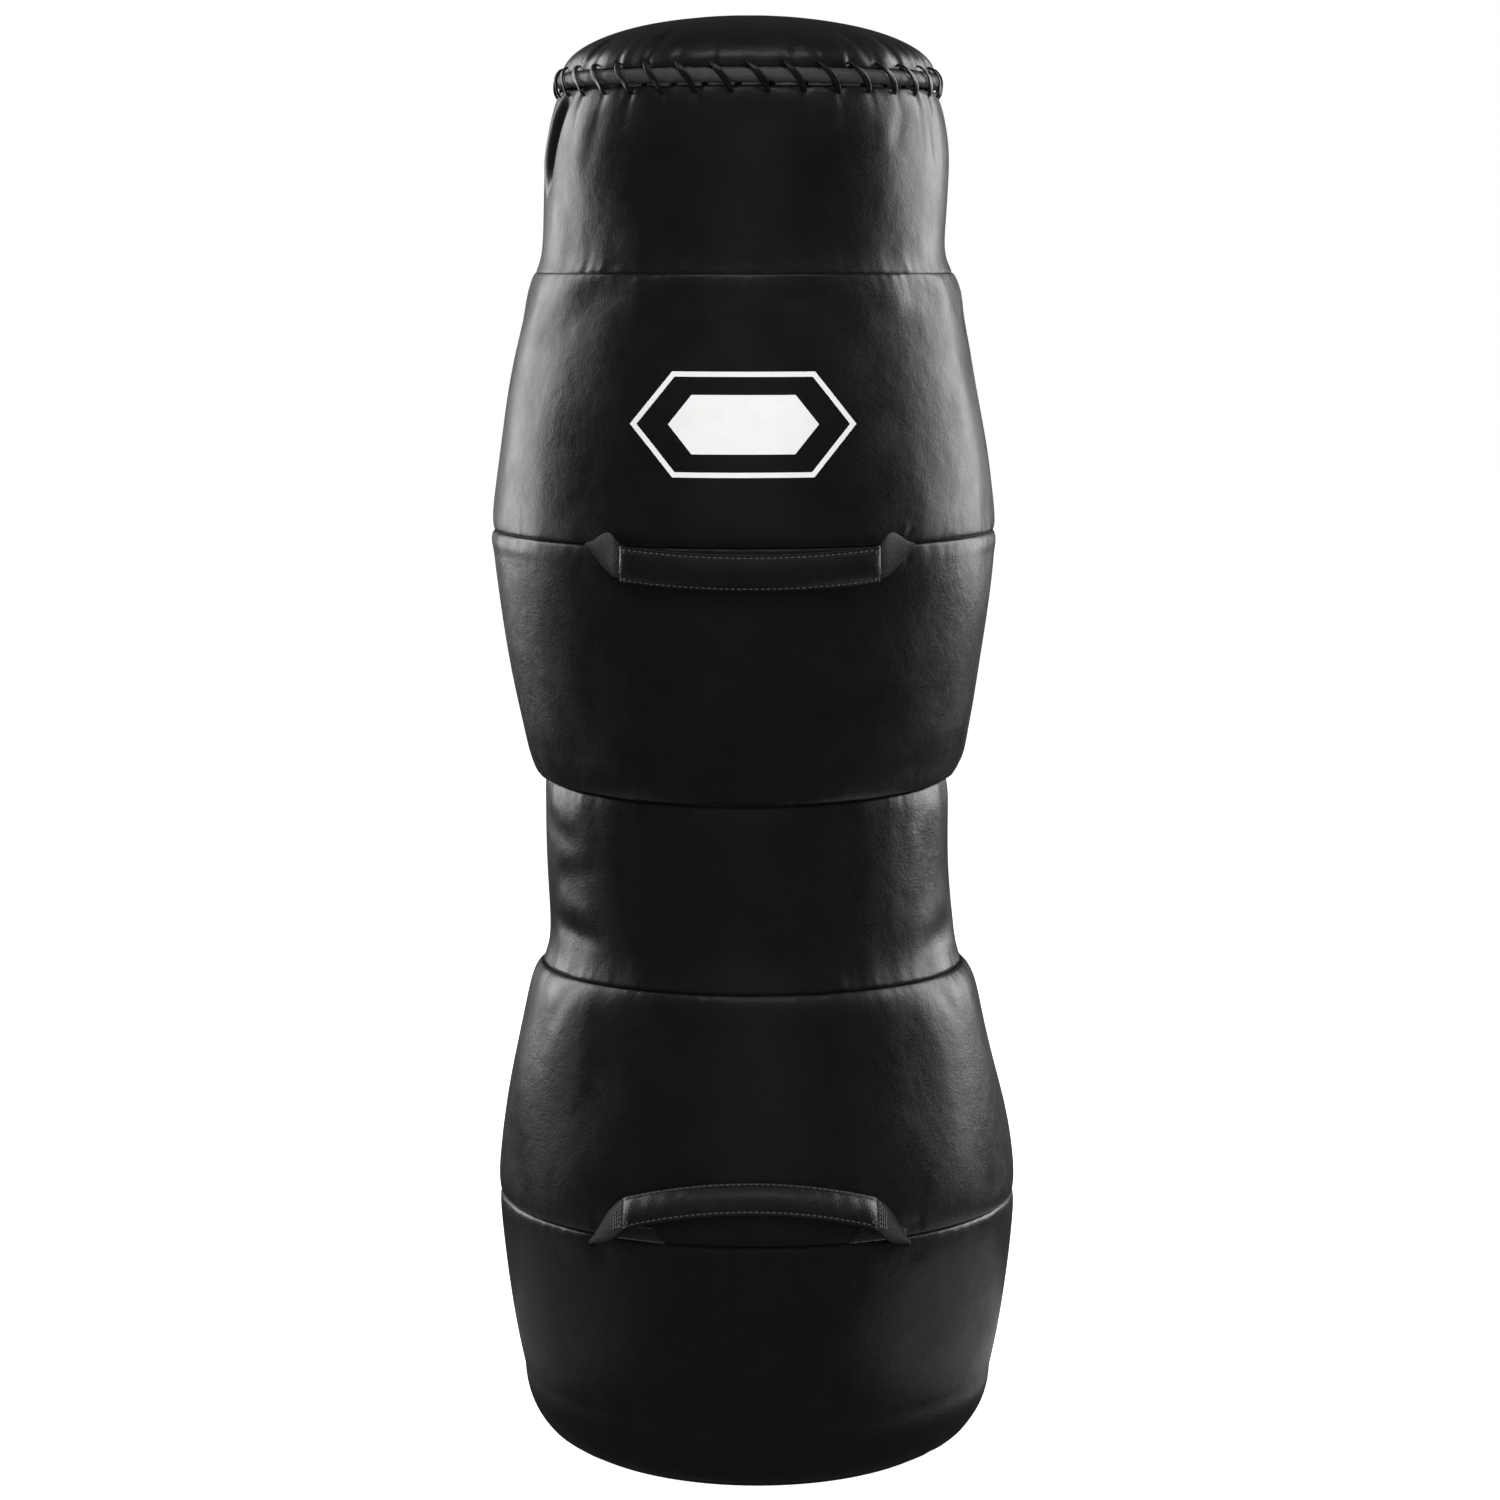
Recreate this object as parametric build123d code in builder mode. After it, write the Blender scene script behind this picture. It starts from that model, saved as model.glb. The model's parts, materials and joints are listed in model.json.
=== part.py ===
from build123d import *
import math
import os

# A stuffed grappling dummy: a black leather cover sewn from round bands, laced
# shut under a domed crown, with two strap handles in front and two behind.
# Sizes are in millimetres. The origin is the middle of the base on the floor,
# +Z is up, and the front faces -Y.

# Heights of the cover's bands, from the floor up
thigh_height = 214
hip_height = 199
waist_height = 162
ribs_height = 204
shoulder_height = 214
neck_height = 146.8
crown_rise = 47.8

# Radii of the cover
base_radius = 163           # the flat round that stands on the floor
thigh_radius = 198          # where the rounded bottom corner ends
hip_radius = 221            # the hip seam, the widest place
waist_flare_radius = 179.5  # the seam between waist and hips
waist_radius = 170.5
chest_radius = 211          # the chest seam
neck_seam_radius = 174.5
neck_low_radius = 167.5     # where the neck stops flaring
neck_radius = 166
neck_top_radius = 155.5
crown_radius = 153
base_seam_radius = 176      # where the base panel is sewn to the thigh band
welt_set_in = 0.5           # from the middle of the neck's and crown's edges to the welt

# How the bands are shaped between their seams
base_corner_height = 45
base_tape_rise = 15         # how far up the corner the base seam's tape reaches
waist_flare_height = 27
neck_flare_height = 22
neck_straight_height = 92   # from the neck seam to where the neck turns in
ribs_overhang = 5.5         # the rib band hangs over the waist band
thigh_bulge = 3
hip_bulge = 7
ribs_bulge = 4.5
shoulder_bulge = 4.5
neck_bulge = 2.2
flare_hollow = 1.2

# The layers of the wall, each with a little play to the next one
leather = 2.5
tape_thickness = 1.5
tape_width = 24
liner_thickness = 1
foam_thickness = 12
layer_play = 0.15

# The waist bends about one line, where foam and stuffing part in a wedge
bend_height = 81            # above the waist's lower seam
bend_angle = 10
wedge_spare_angle = 1
wedge_play = 1

# The rim: a corded welt, whipped all round with a lace
welt_radius = 6
welt_cover_thickness = 1.5
welt_play = 0.2
lace_radius = 1.5
lace_turns = 34
lace_slant = 0.6            # of a turn, from the upper hole to the lower one
lace_hole_radius = 2
lace_hole_depth = 20        # of the cut, through the leather and to spare
lace_hole_edge = 7.8        # from the neck's top edge down to its holes
crown_hole_edge = 4.8       # from the crown's lower edge up to its holes
lace_stand_off = 3          # from the welt to the middle of the lace
lace_corner = 4.5
lace_tail = 8
lace_end_lean = 0.075       # of a turn, how far the tucked ends lean away
stuffing_drop = 7           # from the neck's lace holes down to the stuffing
crown_pad_gap = 5.5         # from the lace to the pad under the crown
crown_pad_play = 1.5

# The strap handles, drawn flat with the hinge line on X and the bow towards -Y
root_spread = 128           # from the middle to where a strap enters the seam
root_stand_off = 4.5        # from the cover to the hinge line
grip_spread = 101           # from the middle to the end of the padded grip
grip_radius = 235
bow_depth = 71              # from the hinge line to the middle of the grip
grip_height = 29
grip_thickness = 11
grip_corner = 5
sleeve_wall = 1.5
grip_end_wall = 4
pad_end_angle = 1           # from the grip's hollow to the padding's end, in degrees
strap_width = 25
strap_thickness = 2.5
strap_bend = 9
strap_play = 0.2
strap_trim = 2              # how far the cuts that gather the strap reach past it
knee_reach = 1              # how near a corner of the strap's line lies to the grip's end
tab_thickness = 5.5
tab_width = 39
tab_root_width = 7
tab_border = 1.6
tab_start = 4
tab_overlap = 4
ball_radius = 3.2
ball_play = 0.4
anchor_neck_radius = 2.6
anchor_play = 0.2
anchor_length = 30
flap_start = 10             # from the strap's root to where the flap begins
flap_length = 40
flap_height = 13
flap_thickness = 1.5

# How far each handle is raised from level as it hangs, in degrees
chest_raise = -13
hip_raise = 45

# The mark printed on the chest: a long hexagon inside a hexagonal line
print_width = 177
print_height = 82
print_line = 4
print_line_ends = 2.5       # of the line's width, what it takes off the width at both points
print_core_width = 118
print_core_height = 46
print_point = 0.4           # of the height, how far the ends are cut slanting
print_drop = 118            # from the neck seam down to its middle
print_thickness = 0.3

# Places worked out from the sizes above
hip_z = thigh_height
waist_low_z = hip_z + hip_height
bend_z = waist_low_z + bend_height
waist_top_z = waist_low_z + waist_height
chest_z = waist_top_z + ribs_height
neck_z = chest_z + shoulder_height
neck_top_z = neck_z + neck_height
rim_z = neck_top_z + welt_play + welt_radius
crown_z = rim_z + welt_radius + welt_play
rim_radius = (crown_radius + neck_top_radius - leather) / 2 - welt_set_in
lace_low_z = neck_top_z - lace_hole_edge
lace_high_z = crown_z + crown_hole_edge
stuffing_top_z = lace_low_z - stuffing_drop
room_radius = 2 * hip_radius

tape_inset = leather + layer_play
liner_inset = tape_inset + tape_thickness + layer_play
foam_inset = liner_inset + liner_thickness + layer_play
fill_inset = foam_inset + foam_thickness + layer_play


def outline_face(inset, overhang=0):
    """Half of the dummy's section up to the neck's top edge, moved in by inset."""
    corner_centre = (base_radius, base_corner_height)
    thigh_top = (hip_radius - inset, hip_z)
    hip_top = (waist_flare_radius - inset, waist_low_z)
    flare_top = (waist_radius - inset, waist_low_z + waist_flare_height)
    waist_top = (waist_radius - inset, waist_top_z)
    ribs_low = (waist_radius + overhang - inset, waist_top_z)
    ribs_top = (chest_radius - inset, chest_z)
    shoulder_top = (neck_seam_radius - inset, neck_z)
    neck_low = (neck_low_radius - inset, neck_z + neck_flare_height)
    neck_turn = (neck_radius - inset, neck_z + neck_straight_height)
    neck_top = (neck_top_radius - inset, neck_top_z)
    with BuildSketch(Plane.XZ) as half:
        with BuildLine():
            Line((0, inset), (base_radius, inset))
            corner = EllipticalCenterArc(corner_centre, thigh_radius - base_radius - inset,
                                         base_corner_height - inset, start_angle=270, arc_size=90)
            SagittaArc(corner @ 1, thigh_top, -thigh_bulge)
            SagittaArc(thigh_top, hip_top, -hip_bulge)
            SagittaArc(hip_top, flare_top, flare_hollow)
            Line(flare_top, waist_top)
            if overhang > 0:
                Line(waist_top, ribs_low)
            SagittaArc(ribs_low, ribs_top, -ribs_bulge)
            SagittaArc(ribs_top, shoulder_top, -shoulder_bulge)
            SagittaArc(shoulder_top, neck_low, flare_hollow)
            Line(neck_low, neck_turn)
            SagittaArc(neck_turn, neck_top, -neck_bulge)
            Polyline(neck_top, (0, neck_top_z), (0, inset))
        make_face()
    return half.sketch


def layer_face(outer, inner, bottom, top, overhang=0):
    """Half section of the layer between two insets, from one height to another."""
    with BuildSketch(Plane.XZ) as layer:
        add(outline_face(outer, overhang))
        if inner is not None:
            add(outline_face(inner, overhang), mode=Mode.SUBTRACT)
        with Locations((0, (bottom + top) / 2)):
            Rectangle(room_radius, top - bottom, mode=Mode.INTERSECT)
    return layer.sketch


def wedge_face():
    """Half section of the gap that lets the waist bend, widest at the outside."""
    rise = math.tan(math.radians((bend_angle + wedge_spare_angle) / 2)) * waist_radius
    half_play = wedge_play / 2
    with BuildSketch(Plane.XZ) as wedge:
        with BuildLine():
            Polyline((0, bend_z - half_play), (waist_radius, bend_z - half_play - rise),
                     (waist_radius, bend_z + half_play + rise), (0, bend_z + half_play), close=True)
        make_face()
    return wedge.sketch


def root_angles(seam_radius):
    """Where the strap ends enter a seam, in degrees round the dummy from +X."""
    lean = math.degrees(math.acos(root_spread / (seam_radius + root_stand_off)))
    return (-lean, lean - 180, lean, 180 - lean)


def hinge_distance(seam_radius):
    """From the dummy's axis to a handle's hinge line."""
    return math.sqrt((seam_radius + root_stand_off) ** 2 - root_spread ** 2)


def cut_strap_holes(seam_radius, seam_z):
    """Round holes in a seam, where the strap ends pass through the wall."""
    for angle in root_angles(seam_radius):
        place = Location((0, 0, seam_z), (0, 0, angle)) * Location((seam_radius, 0, 0), (0, 90, 0))
        with Locations(place):
            Cylinder(anchor_neck_radius + anchor_play, 2 * fill_inset, mode=Mode.SUBTRACT)


def cut_anchor_pockets(seam_radius, seam_z):
    """Pockets in the foam, where the sewn strap ends lie."""
    half = strap_width / 2 + 2 * anchor_play
    spread = math.degrees((anchor_length + 4 * anchor_play) / seam_radius)
    depth = foam_inset + strap_thickness + 2 * anchor_play
    pocket = layer_face(foam_inset - anchor_play, depth, seam_z - half, seam_z + half)
    for angle in root_angles(seam_radius):
        start = pocket.rotate(Axis.Z, angle - spread / 2)
        revolve(start, axis=Axis.Z, revolution_arc=spread, mode=Mode.SUBTRACT)


# ---- The cover's bands -------------------------------------------------------

with BuildPart() as base_panel:
    revolve(layer_face(0, leather, 0, base_corner_height), axis=Axis.Z)
    Cylinder(base_seam_radius, 2 * base_corner_height, mode=Mode.INTERSECT)

with BuildPart() as thigh_panel:
    revolve(layer_face(0, leather, 0, hip_z), axis=Axis.Z)
    Cylinder(base_seam_radius, 2 * base_corner_height, mode=Mode.SUBTRACT)
    cut_strap_holes(hip_radius, hip_z)

with BuildPart() as hip_panel:
    revolve(layer_face(0, leather, hip_z, waist_low_z), axis=Axis.Z)
    cut_strap_holes(hip_radius, hip_z)

with BuildPart() as waist_panel:
    revolve(layer_face(0, leather, waist_low_z, waist_top_z - 2 * layer_play), axis=Axis.Z)

with BuildPart() as ribs_panel:
    revolve(layer_face(0, leather, waist_top_z, chest_z, ribs_overhang), axis=Axis.Z)
    cut_strap_holes(chest_radius, chest_z)

with BuildPart() as shoulder_panel:
    revolve(layer_face(0, leather, chest_z, neck_z), axis=Axis.Z)
    cut_strap_holes(chest_radius, chest_z)

with BuildPart() as neck_panel:
    revolve(layer_face(0, leather, neck_z, neck_top_z), axis=Axis.Z)
    with Locations((0, 0, lace_low_z)):
        with PolarLocations(neck_top_radius, lace_turns, 90 + 360 / lace_turns * lace_slant):
            Cylinder(lace_hole_radius, lace_hole_depth, rotation=(0, 90, 0), mode=Mode.SUBTRACT)


def dome_face(inset, radius):
    """Half section of the crown's dome, solid, moved in by inset."""
    with BuildSketch(Plane.XZ) as half:
        with BuildLine():
            dome = EllipticalCenterArc((0, crown_z), radius, crown_rise - inset, start_angle=0, arc_size=90)
            Polyline(dome @ 1, (0, crown_z), dome @ 0)
        make_face()
    return half.sketch


with BuildPart() as crown_panel:
    with BuildSketch(Plane.XZ):
        add(dome_face(0, crown_radius))
        add(dome_face(leather, crown_radius - leather), mode=Mode.SUBTRACT)
    revolve(axis=Axis.Z)
    with Locations((0, 0, lace_high_z)):
        with PolarLocations(crown_radius, lace_turns, 90):
            Cylinder(lace_hole_radius, lace_hole_depth, rotation=(0, 90, 0), mode=Mode.SUBTRACT)

# ---- Tapes sewn behind the seams ---------------------------------------------


def tape_face(seam_z, below, above, overhang=0):
    """Half section of a tape behind a seam."""
    return layer_face(tape_inset, tape_inset + tape_thickness, seam_z - below, seam_z + above, overhang)


with BuildPart() as base_seam_tape:
    revolve(layer_face(tape_inset, tape_inset + tape_thickness, 0, base_tape_rise), axis=Axis.Z)
    Cylinder(base_seam_radius - tape_width / 2, 2 * base_corner_height, mode=Mode.SUBTRACT)

with BuildPart() as hip_seam_tape:
    revolve(tape_face(hip_z, tape_width / 2, tape_width / 2), axis=Axis.Z)
    cut_strap_holes(hip_radius, hip_z)

with BuildPart() as waist_bottom_tape:
    revolve(tape_face(waist_low_z, tape_width / 2, tape_width / 2), axis=Axis.Z)

with BuildPart() as waist_top_tape:
    revolve(tape_face(waist_top_z, 0, tape_width, ribs_overhang), axis=Axis.Z)

with BuildPart() as chest_seam_tape:
    revolve(tape_face(chest_z, tape_width / 2, tape_width / 2), axis=Axis.Z)
    cut_strap_holes(chest_radius, chest_z)

with BuildPart() as neck_seam_tape:
    revolve(tape_face(neck_z, tape_width / 2, tape_width / 2), axis=Axis.Z)

# ---- Liner, foam and stuffing, parted at the waist ---------------------------


def inner_face(outer, inner, bottom, top):
    """Half section of an inner layer, without the gap where the waist bends."""
    with BuildSketch(Plane.XZ) as half:
        add(layer_face(outer, inner, bottom, top))
        add(wedge_face(), mode=Mode.SUBTRACT)
    return half.sketch


with BuildPart() as lower_liner:
    revolve(inner_face(liner_inset, liner_inset + liner_thickness, 0, bend_z), axis=Axis.Z)
    cut_strap_holes(hip_radius, hip_z)

with BuildPart() as upper_liner:
    revolve(inner_face(liner_inset, liner_inset + liner_thickness, bend_z, stuffing_top_z), axis=Axis.Z)
    cut_strap_holes(chest_radius, chest_z)

with BuildPart() as lower_foam:
    revolve(inner_face(foam_inset, foam_inset + foam_thickness, 0, bend_z), axis=Axis.Z)
    cut_anchor_pockets(hip_radius, hip_z)

with BuildPart() as upper_foam:
    revolve(inner_face(foam_inset, foam_inset + foam_thickness, bend_z, stuffing_top_z), axis=Axis.Z)
    cut_anchor_pockets(chest_radius, chest_z)

with BuildPart() as lower_fill:
    revolve(inner_face(fill_inset, None, 0, bend_z), axis=Axis.Z)

with BuildPart() as upper_fill:
    revolve(inner_face(fill_inset, None, bend_z, stuffing_top_z), axis=Axis.Z)

# ---- The laced rim -----------------------------------------------------------

lace_outer = rim_radius + welt_radius + lace_stand_off
lace_inner = rim_radius - welt_radius - lace_stand_off
lace_pitch = 2 * math.pi / lace_turns

with BuildPart() as rim_welt_cover:
    with BuildSketch(Plane.XZ):
        with Locations((rim_radius, rim_z)):
            Circle(welt_radius)
            Circle(welt_radius - welt_cover_thickness, mode=Mode.SUBTRACT)
    revolve(axis=Axis.Z)

with BuildPart() as rim_welt_cord:
    with BuildSketch(Plane.XZ):
        with Locations((rim_radius, rim_z)):
            Circle(welt_radius - welt_cover_thickness - welt_play)
    revolve(axis=Axis.Z)

with BuildPart() as crown_pad:
    pad_radius = lace_inner - crown_pad_gap
    pad_foot = stuffing_top_z + crown_pad_play
    revolve(dome_face(leather + crown_pad_play, pad_radius), axis=Axis.Z)
    with Locations((0, 0, crown_z)):
        Cylinder(pad_radius, crown_z - pad_foot, align=(Align.CENTER, Align.CENTER, Align.MAX))


def rim_point(radius, turn, height):
    """A point round the rim, with the lace's turns counted from +Y, at the back."""
    angle = math.pi / 2 + turn * lace_pitch
    return (radius * math.cos(angle), radius * math.sin(angle), height)


lace_points = [rim_point(lace_inner, -lace_end_lean, lace_high_z - lace_tail)]
for turn in range(lace_turns):
    lace_points.append(rim_point(lace_inner, turn, lace_high_z))
    lace_points.append(rim_point(lace_outer, turn, lace_high_z))
    lace_points.append(rim_point(lace_outer, turn + lace_slant, lace_low_z))
    lace_points.append(rim_point(lace_inner, turn + lace_slant, lace_low_z))
last_turn = lace_turns - 1 + lace_slant + lace_end_lean
lace_points.append(rim_point(lace_inner, last_turn, lace_low_z + lace_tail))

with BuildPart() as rim_lace:
    with BuildLine() as lace_path:
        FilletPolyline(*lace_points, radius=lace_corner)
    with BuildSketch(Plane(origin=lace_path.wires()[0] @ 0, z_dir=lace_path.wires()[0] % 0)):
        Circle(lace_radius)
    sweep(path=lace_path.wires()[0])

# ---- The printed mark --------------------------------------------------------


def long_hexagon(width, height, mode=Mode.ADD):
    """A hexagon stretched sideways, with its points left and right."""
    flat = width / 2 - height * print_point
    Polygon((-width / 2, 0), (-flat, -height / 2), (flat, -height / 2),
            (width / 2, 0), (flat, height / 2), (-flat, height / 2), align=None, mode=mode)


with BuildPart() as chest_print:
    revolve(layer_face(-print_thickness, 0, chest_z, neck_z), axis=Axis.Z)
    with BuildSketch(Plane.XZ):
        with Locations((0, neck_z - print_drop)):
            long_hexagon(print_width, print_height)
            long_hexagon(print_width - print_line_ends * print_line,
                         print_height - 2 * print_line, Mode.SUBTRACT)
            long_hexagon(print_core_width, print_core_height)
    extrude(amount=hip_radius, mode=Mode.INTERSECT)

# ---- The handles, drawn flat -------------------------------------------------

grip_centre_y = grip_radius - bow_depth
grip_half_angle = math.degrees(math.asin(grip_spread / grip_radius))
grip_end = (grip_spread, grip_centre_y - math.sqrt(grip_radius ** 2 - grip_spread ** 2))
tab_length = math.dist((root_spread, 0), grip_end)
tab_slope = (tab_width - tab_root_width) / 2 / tab_length
grip_axis = Axis((0, grip_centre_y, 0), (0, 0, 1))


def grip_plane(half_angle):
    """The plane across the grip at one end, with x pointing away from its centre."""
    lean = math.radians(half_angle)
    outward = (-math.sin(lean), -math.cos(lean), 0)
    along = (math.cos(lean), -math.sin(lean), 0)
    return Plane(origin=(0, grip_centre_y, 0), x_dir=outward, z_dir=along)


def tab_plane(side):
    """The plane of a strap's end, from its root towards the grip."""
    along = (side * (grip_end[0] - root_spread), grip_end[1], 0)
    return Plane(origin=(side * root_spread, 0, 0), x_dir=along, z_dir=(along[1], -along[0], 0))


def strap_shape(play):
    """The strap from root to root, gathered towards its ends, grown by play."""
    with BuildPart() as strap:
        with BuildSketch():
            with BuildLine() as middle:
                right = Line((root_spread, 0), grip_end)
                bow = CenterArc((0, grip_centre_y), grip_radius, 270 + grip_half_angle,
                                -2 * grip_half_angle)
                left = Line(bow @ 1, (-root_spread, 0))
                knees = middle.vertices().filter_by_position(Axis.Y, grip_end[1] - knee_reach,
                                                             grip_end[1] + knee_reach)
                fillet(knees, strap_bend)
            trace(line_width=strap_thickness + 2 * play)
        extrude(amount=strap_width / 2 + play, both=True)
        edge = tab_root_width / 2 - tab_border + play
        wide = strap_width / 2 + strap_trim
        reach = (wide - edge) / tab_slope
        for side in (1, -1):
            for up in (1, -1):
                with BuildSketch(tab_plane(side)):
                    with BuildLine():
                        Polyline((-strap_trim, up * edge), (0, up * edge), (reach, up * wide),
                                 (-strap_trim, up * wide), close=True)
                    make_face()
                extrude(amount=tab_thickness, both=True, mode=Mode.SUBTRACT)
    return strap.part


with BuildPart() as strap:
    add(strap_shape(0))
    with Locations((root_spread, 0, 0), (-root_spread, 0, 0)):
        Sphere(ball_radius)

with BuildPart() as sleeve:
    with BuildSketch(grip_plane(grip_half_angle)):
        with Locations((grip_radius, 0)):
            RectangleRounded(grip_thickness, grip_height, grip_corner)
    revolve(axis=grip_axis, revolution_arc=2 * grip_half_angle)
    for side in (1, -1):
        with BuildSketch(tab_plane(side)):
            with BuildLine():
                narrow = tab_root_width / 2 + tab_slope * tab_start
                end = tab_length + tab_overlap
                Polyline((tab_start, -narrow), (end, -tab_width / 2), (end, tab_width / 2),
                         (tab_start, narrow), close=True)
            make_face()
        extrude(amount=tab_thickness / 2, both=True)
    hollow_angle = grip_half_angle - math.degrees(grip_end_wall / grip_radius)
    with BuildSketch(grip_plane(hollow_angle)):
        with Locations((grip_radius, 0)):
            RectangleRounded(grip_thickness - 2 * sleeve_wall, grip_height - 2 * sleeve_wall,
                             grip_corner - sleeve_wall)
    revolve(axis=grip_axis, revolution_arc=2 * hollow_angle, mode=Mode.SUBTRACT)
    add(strap_shape(strap_play), mode=Mode.SUBTRACT)
    with Locations((root_spread, 0, 0), (-root_spread, 0, 0)):
        Sphere(ball_radius + strap_play, mode=Mode.SUBTRACT)

with BuildPart() as padding:
    pad_angle = hollow_angle - pad_end_angle
    pad_outer = grip_thickness / 2 - sleeve_wall - strap_play
    pad_inner = strap_thickness / 2 + strap_play
    with BuildSketch(grip_plane(pad_angle)):
        with Locations((grip_radius + (pad_outer + pad_inner) / 2, 0),
                       (grip_radius - (pad_outer + pad_inner) / 2, 0)):
            Rectangle(pad_outer - pad_inner, grip_height - 2 * grip_corner)
    revolve(axis=grip_axis, revolution_arc=2 * pad_angle)


def strap_anchor(seam_radius, seam_z, flap):
    """A strap end sewn inside a seam, on the +X side, with a cup for the strap's ball."""
    half = strap_width / 2
    spread = math.degrees(anchor_length / seam_radius)
    tail_inset = foam_inset + anchor_play / 2
    ball_x = seam_radius + root_stand_off
    neck_x = seam_radius - tail_inset - strap_thickness / 2
    with BuildPart() as anchor:
        tail = layer_face(tail_inset, tail_inset + strap_thickness, seam_z - half, seam_z + half)
        revolve(tail.rotate(Axis.Z, -spread / 2), axis=Axis.Z, revolution_arc=spread)
        with Locations(((neck_x + ball_x) / 2, 0, seam_z)):
            Cylinder(anchor_neck_radius, ball_x - neck_x, rotation=(0, 90, 0))
        if flap:
            with BuildSketch(Plane.XZ.rotated((0, 0, -math.degrees(flap_start / seam_radius)))):
                with Locations((seam_radius + anchor_play, seam_z)):
                    Rectangle(flap_thickness, flap_height, align=(Align.MIN, Align.MIN))
            revolve(axis=Axis.Z, revolution_arc=-math.degrees(flap_length / seam_radius))
        with Locations((ball_x, 0, seam_z)):
            Sphere(ball_radius + ball_play, mode=Mode.SUBTRACT)
    return anchor.part


# ---- The handles and their anchors in place ----------------------------------

handle_pieces = {}
for row, seam_radius, seam_z, raised in (("chest", chest_radius, chest_z, chest_raise),
                                         ("hip", hip_radius, hip_z, hip_raise)):
    anchor = strap_anchor(seam_radius, seam_z, row == "hip")
    lean = root_angles(seam_radius)[0]
    right_anchor = anchor.rotate(Axis.Z, lean)
    front_anchors = right_anchor + right_anchor.mirror(Plane.YZ)
    place = Location((0, -hinge_distance(seam_radius), seam_z), (-raised, 0, 0))
    for name, piece in (("sleeve", sleeve), ("padding", padding), ("webbing", strap)):
        front_piece = piece.part.moved(place)
        handle_pieces[f"{row}_front_{name}"] = front_piece
        handle_pieces[f"{row}_back_{name}"] = front_piece.rotate(Axis.Z, 180)
    handle_pieces[f"{row}_front_anchors"] = front_anchors
    handle_pieces[f"{row}_back_anchors"] = front_anchors.rotate(Axis.Z, 180)

# ---- Names and files ---------------------------------------------------------

body_pieces = {
    "base_panel": base_panel,
    "thigh_panel": thigh_panel,
    "hip_panel": hip_panel,
    "waist_panel": waist_panel,
    "ribs_panel": ribs_panel,
    "shoulder_panel": shoulder_panel,
    "neck_panel": neck_panel,
    "crown_panel": crown_panel,
    "base_seam_tape": base_seam_tape,
    "hip_seam_tape": hip_seam_tape,
    "waist_bottom_tape": waist_bottom_tape,
    "waist_top_tape": waist_top_tape,
    "chest_seam_tape": chest_seam_tape,
    "neck_seam_tape": neck_seam_tape,
    "lower_liner": lower_liner,
    "upper_liner": upper_liner,
    "lower_foam": lower_foam,
    "upper_foam": upper_foam,
    "lower_fill": lower_fill,
    "upper_fill": upper_fill,
    "rim_welt_cover": rim_welt_cover,
    "rim_welt_cord": rim_welt_cord,
    "crown_pad": crown_pad,
    "rim_lace": rim_lace,
    "chest_print": chest_print,
}
named_parts = {name: piece.part for name, piece in body_pieces.items()}
named_parts.update(handle_pieces)

os.makedirs("parts", exist_ok=True)
for name, part in named_parts.items():
    part.label = name
    export_step(part, f"parts/{name}.step")
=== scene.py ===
"""Looks of a stuffed grappling dummy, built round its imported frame."""

import json
import math

import bpy
import numpy as np
from mathutils import Euler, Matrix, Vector


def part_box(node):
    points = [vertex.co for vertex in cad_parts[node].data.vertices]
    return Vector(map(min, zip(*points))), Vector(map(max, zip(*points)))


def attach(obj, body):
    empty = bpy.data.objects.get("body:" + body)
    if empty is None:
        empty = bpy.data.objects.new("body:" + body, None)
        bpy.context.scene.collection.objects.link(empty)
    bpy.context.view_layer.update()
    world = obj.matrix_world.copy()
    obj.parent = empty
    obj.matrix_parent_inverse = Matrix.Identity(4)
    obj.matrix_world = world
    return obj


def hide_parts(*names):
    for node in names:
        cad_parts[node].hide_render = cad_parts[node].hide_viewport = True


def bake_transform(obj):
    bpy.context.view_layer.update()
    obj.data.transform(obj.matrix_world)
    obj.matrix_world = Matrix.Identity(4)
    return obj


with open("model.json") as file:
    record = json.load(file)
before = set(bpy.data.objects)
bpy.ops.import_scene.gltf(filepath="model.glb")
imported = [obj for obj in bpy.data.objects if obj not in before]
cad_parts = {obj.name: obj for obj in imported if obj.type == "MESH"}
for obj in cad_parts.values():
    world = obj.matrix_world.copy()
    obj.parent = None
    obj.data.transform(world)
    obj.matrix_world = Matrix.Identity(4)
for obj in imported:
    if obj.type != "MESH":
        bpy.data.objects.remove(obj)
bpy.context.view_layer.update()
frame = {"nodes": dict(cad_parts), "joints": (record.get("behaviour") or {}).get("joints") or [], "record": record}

bl_info = {
    "name": "Grappling Dummy",
    "version": (1, 0, 0),
    "blender": (4, 5, 0),
    "location": "View3D > Sidebar > Dummy",
    "description": "Builds the cover, laced rim, handles and print of a stuffed grappling dummy",
    "category": "Object",
}

# ---- Places taken from the frame, in metres ----------------------------------


def lowest(node):
    """The height of a node's underside."""
    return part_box(node)[0][2]


def highest(node):
    """The height of a node's top."""
    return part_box(node)[1][2]


def widest(node):
    """The largest radius of a round node."""
    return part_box(node)[1][0]


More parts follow.
